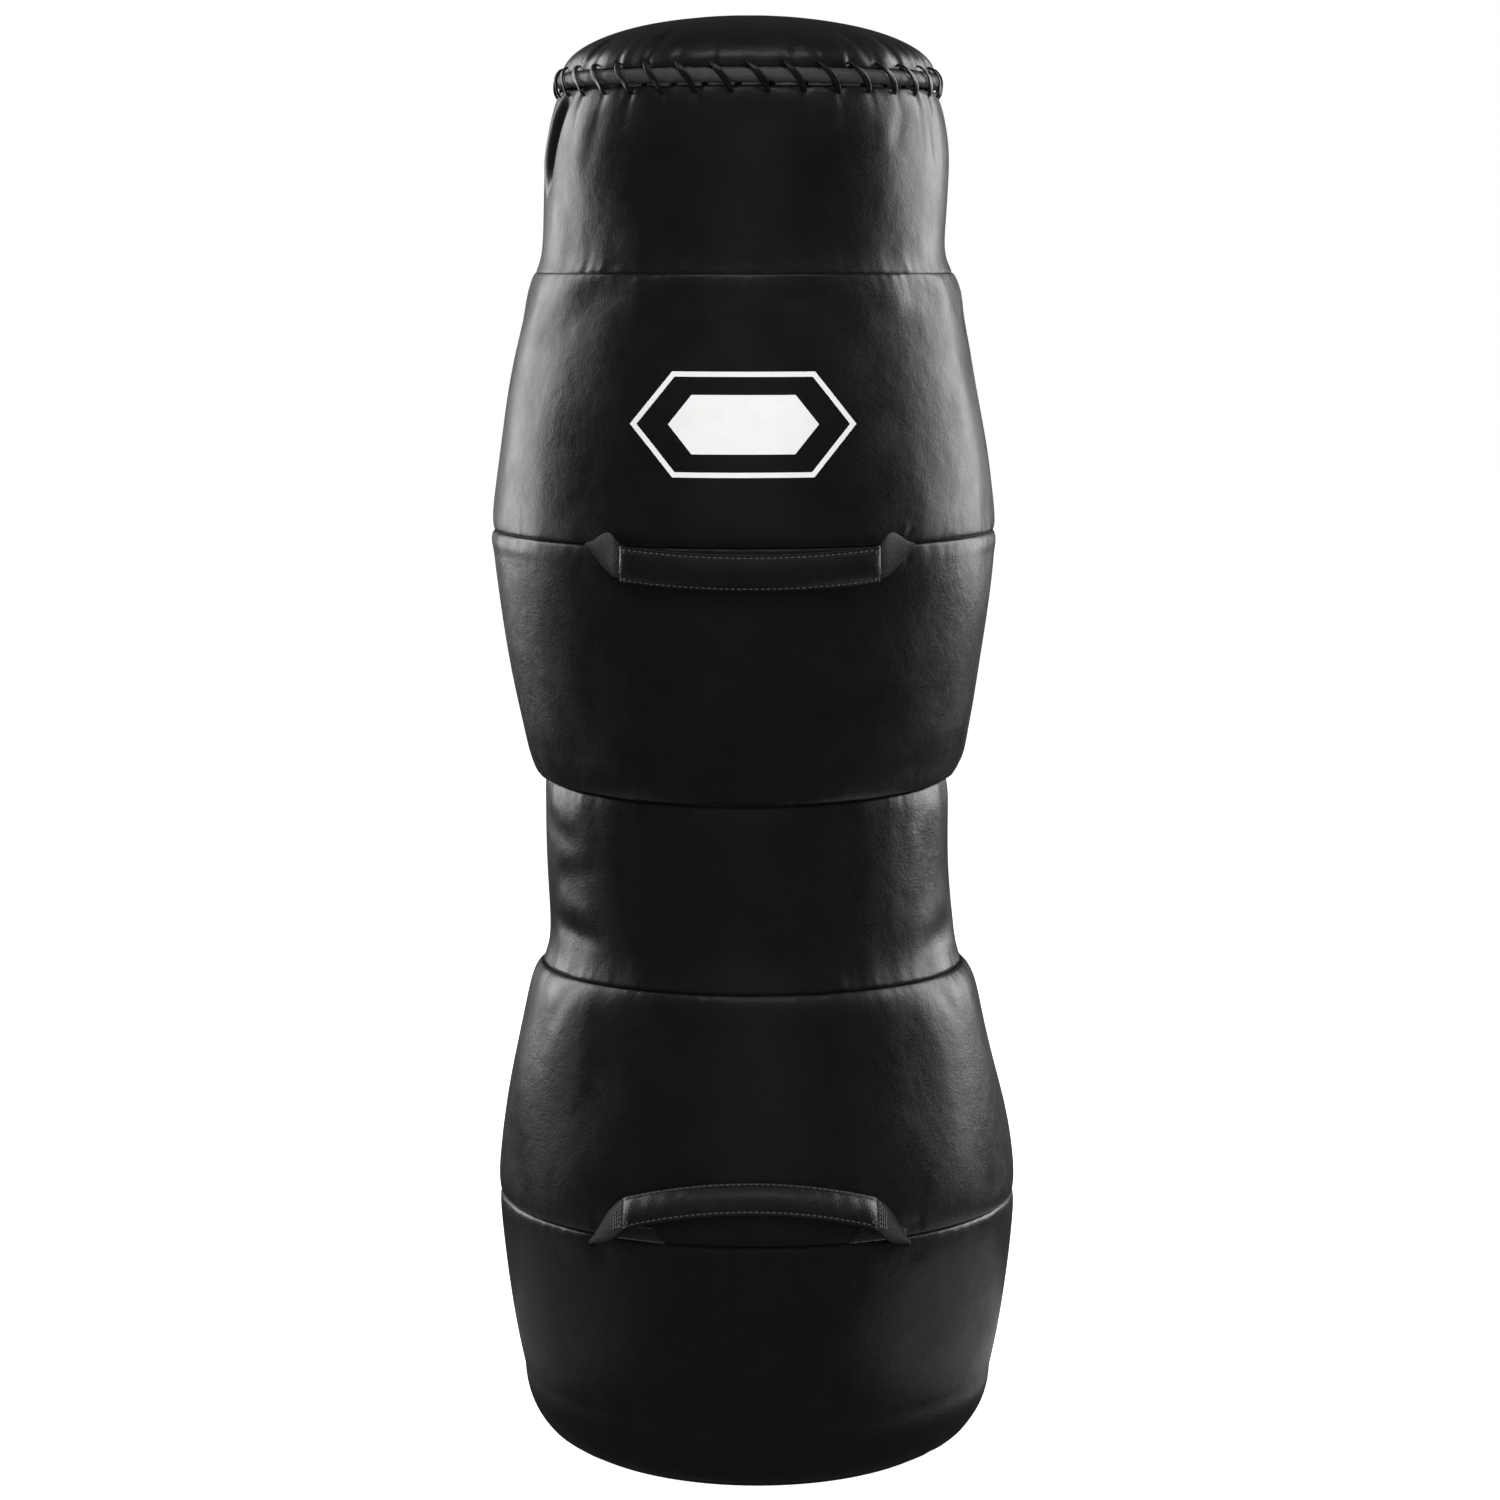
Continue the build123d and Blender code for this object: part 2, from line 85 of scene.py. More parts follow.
HIP_Z = lowest("hip_panel")
WAIST_LOW_Z = lowest("waist_panel")
WAIST_TOP_Z = lowest("ribs_panel")
CHEST_Z = highest("ribs_panel")
NECK_Z = lowest("neck_panel")
NECK_TOP_Z = highest("neck_panel")
CROWN_Z = lowest("crown_panel")
CROWN_TOP_Z = highest("crown_panel")
RIM_Z = (lowest("rim_welt_cover") + highest("rim_welt_cover")) / 2
HIP_RADIUS = widest("hip_panel")
FLARE_RADIUS = widest("waist_panel")
CHEST_RADIUS = widest("ribs_panel")
NECK_SEAM_RADIUS = widest("neck_panel")
CROWN_RADIUS = widest("crown_panel")
WELT_OUTER = widest("rim_welt_cover")
JOINTS = {joint["name"]: joint for joint in frame["joints"]}
BEND_Z = JOINTS["waist_bend"]["pos_m"][2]

MM = 0.001
AIM_Z = CHEST_Z  # where the lights point


# ---- Sizes and colours that a user would change ------------------------------


def length(name, text, default):
    """A length property in metres."""
    return bpy.props.FloatProperty(name=name, description=text, default=default, unit="LENGTH",
                                   precision=5)


def colour(name, text, default):
    """An sRGB hex colour, kept as text."""
    return bpy.props.StringProperty(name=name, description=text, default=default)


class DummyCoverSizes(bpy.types.PropertyGroup):
    """How the stuffed leather cover is shaped."""
    leather: length("Leather", "Thickness of the cover", 2.5 * MM)
    base_radius: length("Base radius", "The flat round that stands on the floor", 152 * MM)
    thigh_radius: length("Thigh radius", "Where the rounded bottom corner ends", 200.5 * MM)
    corner_height: length("Corner height", "How high the rounded bottom corner reaches", 62 * MM)
    base_seam: length("Base seam", "Height of the seam round the base", 5 * MM)
    waist_radius: length("Waist radius", "Radius of the waist band", 169.8 * MM)
    neck_radius: length("Neck radius", "Radius of the neck band", 166 * MM)
    neck_top_radius: length("Neck top radius", "Radius under the rim", 155 * MM)
    ribs_radius: length("Ribs radius", "Lower radius of the rib band", 176.5 * MM)
    hip_bulge: length("Hip bulge", "How far the hip band bulges", 7 * MM)
    band_bulge: length("Band bulge", "How far the rib and shoulder bands bulge", 4.5 * MM)
    thigh_bulge: length("Thigh bulge", "How far the thigh band bulges", 3 * MM)
    edge_roll: length("Edge roll", "Radius of a band's turned edge", 2.4 * MM)
    seam_depth: length("Seam depth", "How far a seam pulls the cover in", 2.6 * MM)
    seam_width: length("Seam width", "How quickly the cover rises from a seam", 6 * MM)
    pucker: length("Pucker", "Height of the small gathers along a seam", 0.12 * MM)
    lump: length("Lump", "Height of the uneven stuffing", 0.7 * MM)
    chest_lean: length("Chest lean", "Sideways shift of the chest", -5.2 * MM)
    hip_lean: length("Hip lean", "Sideways shift of the hips", 6.2 * MM)
    seam_sag: length("Seam sag", "How far the seams by the waist and hips wander in front", 6 * MM)


class DummyRimSizes(bpy.types.PropertyGroup):
    """The laced rim."""
    wraps: bpy.props.IntProperty(name="Wraps", description="Turns of the lace", default=34)
    welt: length("Welt radius", "Radius of the corded welt", 6 * MM)
    squeeze: length("Squeeze", "How far the lace bites into the welt", 0.9 * MM)
    lace_width: length("Lace width", "Width of the flat lace", 5.4 * MM)
    lace_thickness: length("Lace thickness", "Thickness of the flat lace", 1.8 * MM)
    slant: bpy.props.FloatProperty(name="Slant", description="Share of a turn that the lace leans",
                                   default=0.6)
    dimple: length("Dimple", "How far each lace hole pulls the cover in", 1.7 * MM)


class DummyHandleSizes(bpy.types.PropertyGroup):
    """The strap handles."""
    root_spread: length("Root spread", "From the middle to a strap's root", 128 * MM)
    grip_spread: length("Grip spread", "From the middle to the grip's end", 101 * MM)
    grip_radius: length("Grip radius", "Radius of the grip's arc", 235 * MM)
    bow_depth: length("Bow depth", "From the hinge line to the grip", 71 * MM)
    grip_height: length("Grip height", "Height of the padded grip", 29 * MM)
    grip_thickness: length("Grip thickness", "Thickness of the padded grip", 11 * MM)
    flange: length("Flange", "Width of the stitched edge", 3.2 * MM)
    stitch: length("Stitch", "Length of one stitch", 3.4 * MM)


class DummyPrintSizes(bpy.types.PropertyGroup):
    """The generic mark on the chest."""
    width: length("Width", "Width of the outer hexagon", 177 * MM)
    height: length("Height", "Height of the outer hexagon", 82 * MM)
    line: length("Line", "Width of the outer line", 4 * MM)
    core_width: length("Core width", "Width of the inner hexagon", 118 * MM)
    core_height: length("Core height", "Height of the inner hexagon", 46 * MM)
    drop: length("Drop", "From the neck seam to its middle", 118 * MM)
    point: bpy.props.FloatProperty(name="Point", description="Slanted share of its height", default=0.4)


class DummyColours(bpy.types.PropertyGroup):
    """Colours, as sRGB hex values."""
    leather: colour("Leather", "The cover", "#0a0a0b")
    grip: colour("Grip leather", "The padded grips", "#0c0c0d")
    handle: colour("Handle leather", "The strap ends", "#080808")
    welt: colour("Welt", "The rim's corded welt", "#303032")
    lace: colour("Lace", "The rim's lace", "#080808")
    thread: colour("Thread", "Stitches", "#4c4c4e")
    webbing: colour("Webbing", "Straps and tapes", "#0e0e0f")
    mark: colour("Mark", "The chest print", "#ececea")
    canvas: colour("Canvas", "The liner", "#b3a88f")
    foam: colour("Foam", "Padding", "#8f9095")
    stuffing: colour("Stuffing", "Shredded textile", "#8d8580")
    cotton: colour("Cotton", "The welt's cord", "#cfc5ad")
    floor: colour("Floor", "The studio floor", "#f4f4f4")


# ---- Surfaces worked out with numpy ------------------------------------------


def make_piece(name, points, quads, triangles, material):
    """A closed mesh from points and faces, turned the right way if its volume comes out negative."""
    triangles = np.asarray(triangles, dtype=np.int64).reshape(-1, 3)
    halves = np.concatenate([quads[:, [0, 1, 2]], quads[:, [0, 2, 3]], triangles])
    a, b, c = points[halves[:, 0]], points[halves[:, 1]], points[halves[:, 2]]
    if np.einsum("ij,ij->i", a, np.cross(b, c)).sum() < 0:
        quads = quads[:, ::-1]
        triangles = triangles[:, ::-1]
    corners = np.concatenate([quads.ravel(), triangles.ravel()])
    starts = np.concatenate([np.arange(len(quads)) * 4,
                             len(quads) * 4 + np.arange(len(triangles)) * 3])
    mesh = bpy.data.meshes.new(name)
    mesh.vertices.add(len(points))
    mesh.vertices.foreach_set("co", np.ascontiguousarray(points, dtype=np.float32).ravel())
    mesh.loops.add(len(corners))
    mesh.loops.foreach_set("vertex_index", corners.astype(np.int32))
    mesh.polygons.add(len(starts))
    mesh.polygons.foreach_set("loop_start", starts.astype(np.int32))
    mesh.update(calc_edges=True)
    mesh.validate()
    mesh.shade_smooth()
    mesh.materials.append(material)
    piece = bpy.data.objects.new(name, mesh)
    bpy.context.scene.collection.objects.link(piece)
    return piece


def grid_faces(rows, columns, close_rows, close_columns, first=0):
    """Quads over a grid of points numbered row by row, wrapped round where it closes."""
    row = np.arange(rows if close_rows else rows - 1)
    column = np.arange(columns if close_columns else columns - 1)
    low, left = np.meshgrid(row, column, indexing="ij")
    high = (low + 1) % rows
    right = (left + 1) % columns
    quads = np.stack([low * columns + left, low * columns + right,
                      high * columns + right, high * columns + left], axis=-1)
    return quads.reshape(-1, 4) + first


def fan(ring, pole):
    """Triangles from a closed ring of point numbers to one pole."""
    return np.stack([ring, np.roll(ring, -1), np.full(len(ring), pole)], axis=1)


def loop_piece(name, grid, material):
    """A ring shape: a closed section carried once round, so rows and columns both close."""
    rows, columns = grid.shape[:2]
    quads = grid_faces(rows, columns, True, True)
    return make_piece(name, grid.reshape(-1, 3), quads, [], material)


def tube_mesh(grid, first=0):
    """Points and faces of a tube whose rows are closed sections, with a pole at each end."""
    rows, columns = grid.shape[:2]
    points = np.concatenate([grid.reshape(-1, 3), grid[:1].mean(axis=1), grid[-1:].mean(axis=1)])
    start_pole = first + rows * columns
    ring = first + np.arange(columns)
    start = fan(ring[::-1], start_pole)
    end = fan(ring + (rows - 1) * columns, start_pole + 1)
    return points, grid_faces(rows, columns, False, True, first), np.concatenate([start, end])


def join_tubes(name, grids, material):
    """One piece of several separate tubes."""
    points, quads, triangles = [], [], []
    count = 0
    for grid in grids:
        more_points, more_quads, more_triangles = tube_mesh(grid, count)
        points.append(more_points)
        quads.append(more_quads)
        triangles.append(more_triangles)
        count += len(more_points)
    return make_piece(name, np.concatenate(points), np.concatenate(quads),
                      np.concatenate(triangles), material)


def ripple(angle, seed, low, high, count=16):
    """A sum of cosines round the dummy with whole wave numbers and seeded phases, about 1 high."""
    source = np.random.default_rng(seed)
    waves = source.integers(low, high, count)
    phases = source.uniform(0, 2 * np.pi, count)
    weights = source.uniform(0.5, 1.0, count)
    total = (weights * np.cos(angle[..., None] * waves + phases)).sum(axis=-1)
    return total / math.sqrt((weights ** 2).sum() / 2)


def lumps(angle, height, seed, count=12):
    """A sum of products of cosines round and up, about 1 high: the uneven stuffing."""
    source = np.random.default_rng(seed)
    waves = source.integers(1, 9, count)
    rises = source.uniform(8, 45, count)
    phases = source.uniform(0, 2 * np.pi, (2, count))
    around = np.cos(angle[..., None] * waves + phases[0])
    upward = np.cos(height[..., None] * rises + phases[1])
    return (around * upward).sum(axis=-1) / math.sqrt(count / 4)


def crease(angle, height, radius, place, run, width, depth, turn):
    """A fold: a Gaussian valley beside a softer ridge along a slanting line on the cover.

    place is (degrees round from the front, height), run its half length, turn its slant in degrees
    from level, and the valley fades out at its ends.
    """
    across = (angle - math.radians(place[0])) * radius
    upward = height - place[1]
    lean = math.radians(turn)
    along = across * math.cos(lean) + upward * math.sin(lean)
    beside = -across * math.sin(lean) + upward * math.cos(lean)
    fade = np.exp(-(along / run) ** 4)
    valley = np.exp(-(beside / width) ** 2)
    ridge = np.exp(-((beside - 1.9 * width) / (1.3 * width)) ** 2)
    return depth * fade * (0.6 * ridge - valley)


# ---- The cover's outline -----------------------------------------------------

HIP_BROW = 3.2 * MM
WAIST_FLARE = 12 * MM  # how quickly the waist opens to its lower seam
NECK_FLARE = 9 * MM
NECK_TURN = 0.56
SAG_REACH = 55 * MM
SEAM_SAGS = ((WAIST_TOP_Z, -1.0), (WAIST_LOW_Z, 1.0), (HIP_Z, 0.9))  # height, share of the sag


def lean_at(height):
    """Sideways shift of the dummy's middle line: hips one way, chest the other, smoothly between."""
    sizes = bpy.context.scene.dummy_cover
    places = [0, HIP_Z, WAIST_LOW_Z, WAIST_TOP_Z, CHEST_Z, NECK_Z, NECK_TOP_Z, CROWN_TOP_Z]
    shares = [sizes.hip_lean, sizes.hip_lean, sizes.hip_lean * 0.3, sizes.chest_lean * 0.7,
              sizes.chest_lean, sizes.chest_lean, sizes.chest_lean * 0.3, sizes.chest_lean * 0.2]
    offsets = np.linspace(-0.03, 0.03, 13)
    return np.mean([np.interp(height + offset, places, shares) for offset in offsets], axis=0)


def bulged(low, high, bulge):
    """A line between two (radius, height) points, bulged outwards as a parabola."""
    share = np.linspace(0, 1, 200)
    radius = low[0] + (high[0] - low[0]) * share + 4 * bulge * share * (1 - share)
    height = low[1] + (high[1] - low[1]) * share
    return np.stack([radius, height], axis=1)


def corner_line(start, end):
    """The bottom corner, a quarter ellipse, between two heights."""
    sizes = bpy.context.scene.dummy_cover
    height = np.linspace(start, end, 120)
    drop = 1 - height / sizes.corner_height
    reach = sizes.thigh_radius - sizes.base_radius
    return np.stack([sizes.base_radius + reach * np.sqrt(np.clip(1 - drop ** 2, 0, 1)), height], axis=1)


def band_outline(name):
    """The smooth (radius, height) line of one band of the cover, from its lower seam up."""
    sizes = bpy.context.scene.dummy_cover
    if name == "base":
        flat = np.stack([np.linspace(0.02, sizes.base_radius, 80), np.zeros(80)], axis=1)
        share = np.linspace(0, 1, 40)[1:]
        rise = sizes.base_seam * share ** 2
        curve = corner_line(0, sizes.base_seam)
        return np.concatenate([flat, np.stack([np.interp(rise, curve[:, 1], curve[:, 0]), rise], axis=1)])
    if name == "thigh":
        side = bulged((sizes.thigh_radius, sizes.corner_height), (HIP_RADIUS, HIP_Z), sizes.thigh_bulge)
        return np.concatenate([corner_line(sizes.base_seam, sizes.corner_height)[:-1], side])
    if name == "hip":
        line = bulged((HIP_RADIUS, HIP_Z), (FLARE_RADIUS, WAIST_LOW_Z), sizes.hip_bulge)
        brow = np.linspace(0, 1, len(line)) ** 7  # swells just under the waist
        line[:, 0] += 4 * HIP_BROW * brow * (1 - brow)
        return line
    if name == "waist":
        height = np.linspace(WAIST_LOW_Z, WAIST_TOP_Z, 200)
        flare = (FLARE_RADIUS - sizes.waist_radius) * np.exp(-(height - WAIST_LOW_Z) / WAIST_FLARE)
        return np.stack([sizes.waist_radius + flare, height], axis=1)
    if name == "ribs":
        return bulged((sizes.ribs_radius, WAIST_TOP_Z), (CHEST_RADIUS, CHEST_Z), sizes.band_bulge)
    if name == "shoulder":
        return bulged((CHEST_RADIUS, CHEST_Z), (NECK_SEAM_RADIUS, NECK_Z), sizes.band_bulge)
    height = np.linspace(NECK_Z, NECK_TOP_Z, 200)
    flare = (NECK_SEAM_RADIUS - sizes.neck_radius) * np.exp(-(height - NECK_Z) / NECK_FLARE)
    # Above this share of its height the neck turns in under the rim.
    turn = np.clip((height - NECK_Z) / (NECK_TOP_Z - NECK_Z) - NECK_TURN, 0, 1) / (1 - NECK_TURN)
    radius = sizes.neck_radius + flare - (sizes.neck_radius - sizes.neck_top_radius) * turn ** 2.2
    return np.stack([radius, height], axis=1)


def even_line(line, marks):
    """A line read at given distances along it, with its outward normals."""
    steps = np.hypot(*np.diff(line, axis=0).T)
    along = np.concatenate([[0], np.cumsum(steps)])
    places = marks * along[-1]
    points = np.stack([np.interp(places, along, line[:, 0]), np.interp(places, along, line[:, 1])], axis=1)
    tangent = np.gradient(points, places, axis=0)
    tangent /= np.hypot(tangent[:, 0], tangent[:, 1])[:, None]
    normal = np.stack([tangent[:, 1], -tangent[:, 0]], axis=1)
    return points, normal, places, along[-1] - places


def sag_at(height, angle):
    """How far the stuffing has pushed the seams up or down in front: a Gaussian round each of them."""
    sizes = bpy.context.scene.dummy_cover
    front = ((1 + np.cos(angle)) / 2) ** 2
    rise = 0 * height
    for seam, share in SEAM_SAGS:
        rise = rise + share * np.exp(-((height - seam) / SAG_REACH) ** 2)
    return sizes.seam_sag * front * rise


def round_points(line, normal, inset, angle):
    """Points round the dummy: each (radius, height) moved in along its normal by inset[row, column]."""
    radius = line[:, 0, None] - normal[:, 0, None] * inset
    height = line[:, 1, None] - normal[:, 1, None] * inset
    middle = lean_at(line[:, 1])[:, None]
    height = height + sag_at(line[:, 1, None], angle)
    return np.stack([radius * np.sin(angle) + middle, -radius * np.cos(angle), height], axis=-1)


BAND_FOLDS = {
    # Folds of each band: degrees round from the front, height in metres, half length, width and
    # depth in millimetres, and slant in degrees.
    "waist": [(-60, 0.449, 36, 11.0, 2.4, -6), (-58, 0.500, 30, 10.0, 0.8, 10),
              (-66, 0.534, 32, 11.0, 1.0, -14), (60, 0.505, 36, 13.0, 0.9, 82),
              (66, 0.445, 32, 12.0, 0.9, 10), (146, 0.452, 50, 12.0, 1.1, 8),
              (-138, 0.462, 50, 12.0, 1.1, -6), (110, 0.52, 40, 12.0, 0.8, 12)],
    "neck": [(-71, 1.098, 40, 6.0, 6.0, 66), (-48, 1.092, 26, 9.0, 0.6, 74),
             (48, 1.108, 20, 8.0, 0.8, 62), (68, 1.100, 24, 9.0, 0.8, 100),
             (128, 1.10, 20, 7.0, 1.0, 80)],
    "ribs": [(38.5, 0.770, 7, 3.0, 0.8, 75), (-20, 0.665, 50, 5.0, 0.35, 3)],
    "shoulder": [(38.5, 0.786, 6, 2.6, 1.2, 50), (12, 0.972, 20, 5.0, 0.5, 8)],
    "hip": [(-37, 0.222, 7, 3.0, 1.0, 70), (37, 0.222, 7, 3.0, 1.0, -70),
            (-56, 0.392, 20, 9.0, 0.8, 60), (58, 0.392, 20, 9.0, 0.8, -60)],
    "thigh": [],
    "base": [],
}
BAND_SEEDS = {"base": 11, "thigh": 12, "hip": 13, "waist": 14, "ribs": 15, "shoulder": 16, "neck": 17}
ROOT_TURN = 0.62  # radians from the front to a hip handle's end
# Where the hip handles' ends press the cover in: radians round, and how deep.
ROOT_DIMPLES = ((ROOT_TURN, 1.5 * MM), (-ROOT_TURN, 1.5 * MM),
                (math.pi - ROOT_TURN, 2.8 * MM), (math.pi + ROOT_TURN, 2.8 * MM))
ANGLE_STEPS = 560  # points round a band
BAND_ROWS = 62     # and up it


def edge_fall(distance):
    """How far a turned edge falls in: a quarter circle at the seam over a soft pull that fades away."""
    sizes = bpy.context.scene.dummy_cover
    roll = sizes.edge_roll
    inside = np.clip(roll - distance, 0, roll)
    return roll - np.sqrt(roll ** 2 - inside ** 2) + sizes.seam_depth * np.exp(-distance / sizes.seam_width)


CLOTH_ROWS = 26
CLOTH_COLUMNS = 200
CLOTH_FRAMES = 20
CLOTH_CAP = 3 * MM
CLOTH_WAVES = 26   # waves round the dummy past which the cloth's move is smoothed away
CLOTH_SHARE = 0.9  # of the move that is kept
CLOTH_SETTINGS = {
    "quality": 6, "mass": 0.35, "tension_stiffness": 25, "compression_stiffness": 25,
    "shear_stiffness": 12, "bending_stiffness": 3, "shrink_min": -0.008,
    "use_pressure": True, "uniform_pressure_force": 4,
}
PUFFS = {}


def cloth_puff(name):
    """How far a slightly oversized cloth band, sewn fast at its seams, blows out of its outline.

    A coarse tube on the band's outline is pinned at both edges, given pressure and let go for
    twenty frames. What comes back is each point's move along the outline's normal, capped.
    """
    if name in PUFFS:
        return PUFFS[name]
    if name == "base":
        PUFFS[name] = np.zeros((CLOTH_ROWS, CLOTH_COLUMNS))
        return PUFFS[name]
    angle = np.arange(CLOTH_COLUMNS) * 2 * np.pi / CLOTH_COLUMNS
    line, normal, _, _ = even_line(band_outline(name), np.linspace(0, 1, CLOTH_ROWS))
    # Slightly uneven to begin with, so that the pressure finds folds to push out.
    radius = line[:, 0, None] + 0.4 * MM * ripple(angle, BAND_SEEDS[name] + 7, 5, 60)
    height = line[:, 1, None] + 0 * angle
    grid = np.stack([radius * np.sin(angle), -radius * np.cos(angle), height], axis=-1)
    mesh = bpy.data.meshes.new("cloth")
    points = grid.reshape(-1, 3)
    mesh.from_pydata(points.tolist(), [], grid_faces(CLOTH_ROWS, CLOTH_COLUMNS, False, True).tolist())
    band = bpy.data.objects.new("cloth", mesh)
    bpy.context.scene.collection.objects.link(band)
    seams = band.vertex_groups.new(name="seams")
    edge = list(range(CLOTH_COLUMNS)) + list(range(len(points) - CLOTH_COLUMNS, len(points)))
    seams.add(edge, 1.0, "REPLACE")
    cloth = band.modifiers.new("cloth", "CLOTH")
    for setting, value in CLOTH_SETTINGS.items():
        setattr(cloth.settings, setting, value)
    cloth.settings.vertex_group_mass = seams.name
    cloth.settings.effector_weights.gravity = 0
    cloth.collision_settings.use_collision = False
    cloth.point_cache.frame_start, cloth.point_cache.frame_end = 1, CLOTH_FRAMES
    for step in range(1, CLOTH_FRAMES + 1):
        bpy.context.scene.frame_set(step)
    shape = band.evaluated_get(bpy.context.evaluated_depsgraph_get()).data
    moved = np.empty(len(points) * 3, dtype=np.float32)
    shape.vertices.foreach_get("co", moved)
    move = moved.reshape(grid.shape) - grid
    out = (move[..., 0] * np.sin(angle) - move[..., 1] * np.cos(angle)) * normal[:, 0, None]
    out += move[..., 2] * normal[:, 1, None]
    bpy.context.scene.frame_set(1)
    bpy.data.objects.remove(band)
    bpy.data.meshes.remove(mesh)
    # The even part of the swelling is in the outline already, and waves finer than a finger are left out.
    out = np.clip(out, -CLOTH_CAP, CLOTH_CAP)
    waves = np.fft.rfft(out - out.mean(axis=1, keepdims=True), axis=1)
    kept = np.exp(-(np.arange(waves.shape[1]) / CLOTH_WAVES) ** 2)
    out = np.fft.irfft(waves * kept, CLOTH_COLUMNS, axis=1)
    for step in range(3):
        out[1:-1] = (out[:-2] + 2 * out[1:-1] + out[2:]) / 4
    PUFFS[name] = CLOTH_SHARE * out
    return PUFFS[name]


def puff_on(name, along, angle):
    """The cloth's move read on another grid, linearly between its points and then smoothed round."""
    puff = cloth_puff(name)
    column = (angle / (2 * np.pi) * CLOTH_COLUMNS) % CLOTH_COLUMNS
    row = np.clip(along / along.max(), 0, 1) * (CLOTH_ROWS - 1)
    low = np.minimum(row.astype(int), CLOTH_ROWS - 2)
    left = column.astype(int) % CLOTH_COLUMNS
    up, right = (row - low)[:, None], column - np.floor(column)
    up, right = up * up * (3 - 2 * up), right * right * (3 - 2 * right)
    wide = np.roll(puff, -1, axis=1)
    return ((puff[low][:, left] * (1 - right) + wide[low][:, left] * right) * (1 - up)
            + (puff[low + 1][:, left] * (1 - right) + wide[low + 1][:, left] * right) * up)


def band_inset(name, line, below, above, angle):
    """How far each point of a band lies inside its smooth outline: edges, gathers, lumps and folds."""
    sizes = bpy.context.scene.dummy_cover
    seed = BAND_SEEDS[name]
    around, height = np.meshgrid(angle, line[:, 1])
    radius = line[:, 0, None]
    inset = (edge_fall(below) + edge_fall(above))[:, None] + 0 * around
    for distance, shift in ((below, 0), (above, 50)):
        fine = ripple(angle, seed + shift, 45, 120)
        broad = ripple(angle, seed + shift + 1, 14, 40)
        gather = np.clip(distance / (2 * MM), 0, 1)
        # Small gathers die away within a finger's width of the seam, broad ones further up the band.
        inset -= sizes.pucker * np.exp(-distance / (9 * MM))[:, None] * gather[:, None] * fine
        inset -= 1.5 * sizes.pucker * np.exp(-distance / (30 * MM))[:, None] * gather[:, None] * broad
    middle = np.clip(np.minimum(below, above) / (20 * MM), 0, 1)[:, None]
    inset -= sizes.lump * middle * lumps(around, height, seed + 2)
    for degrees, level, run, width, depth, slant in BAND_FOLDS[name]:
        wrapped = (around - math.radians(degrees) + np.pi) % (2 * np.pi) - np.pi
        turned = wrapped + math.radians(degrees)
        inset -= crease(turned, height, radius, (degrees, level), run * MM, width * MM, depth * MM,
                        slant) * middle ** 0.3
    inset -= puff_on(name, below, angle)
    inset += back_seam(around, radius) * np.clip(np.minimum(below, above) / (6 * MM), 0, 1)[:, None]
    if name == "neck":
        inset += hole_pull(around, above, 0.6, 13 * MM)
    if name in ("hip", "thigh"):
        edge = (above if name == "thigh" else below)[:, None]
        for turn, depth in ROOT_DIMPLES:
            beside = ((around - turn + math.pi) % (2 * math.pi) - math.pi) * radius
            inset += depth * np.exp(-(beside / (14 * MM)) ** 2 - ((edge - 11 * MM) / (11 * MM)) ** 2)
    if name == "ribs":
        # The stuffing rolls the top edge out at the sides, where no handle holds it.
        inset -= 1.1 * MM * np.exp(-((above - 8 * MM) / (7 * MM)) ** 2)[:, None] * np.sin(around) ** 2
    return inset


def back_seam(around, radius):
    """The upright seam behind: a narrow valley with a soft ridge on one side."""
    beside = ((around + 2 * np.pi) % (2 * np.pi) - np.pi) * radius
    valley = 1.3 * MM * np.exp(-(beside / (1.6 * MM)) ** 2)
    ridge = 0.5 * MM * np.exp(-((beside - 5 * MM) / (4 * MM)) ** 2)
    return valley - ridge


def hole_pull(around, edge, phase, reach):
    """Dimples at the lace holes: a sharp cosine round the rim that fades away from the edge."""
    rim = bpy.context.scene.dummy_rim
    turn = around / (2 * np.pi) * rim.wraps - phase
    sharp = np.clip(np.cos(2 * np.pi * turn), 0, 1) ** 3
    uneven = 1 + 0.35 * ripple(around[0], 71 + int(10 * phase), 3, 30)
    return rim.dimple * (sharp - 0.35) * uneven * np.exp(-edge / reach)[:, None]


def band_piece(name, node, body, material, tuck=4 * MM):
    """A band as a closed ring: its outside, its edges tucked in at the seams, and its inner wall."""
    sizes = bpy.context.scene.dummy_cover
    angle = np.arange(ANGLE_STEPS) * 2 * np.pi / ANGLE_STEPS
    even = np.linspace(0, 1, BAND_ROWS)
    marks = 0.3 * even + 0.7 * (1 - np.cos(np.pi * even)) / 2
    line, normal, below, above = even_line(band_outline(name), marks)
    inset = band_inset(name, line, below, above, angle)
    outside = round_points(line, normal, inset, angle)
    low_edge = round_points(line[:1], normal[:1], inset[:1] + tuck, angle)
    high_edge = round_points(line[-1:], normal[-1:], inset[-1:] + tuck, angle)
    inner_rows = np.arange(BAND_ROWS - 3, 2, -6)
    inside = round_points(line[inner_rows], normal[inner_rows], inset[inner_rows] + sizes.leather, angle)
    grid = np.concatenate([low_edge, outside, high_edge, inside])
    piece = loop_piece(node, grid, material)
    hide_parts(node)
    if name != "waist":
        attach(piece, body)
    return piece


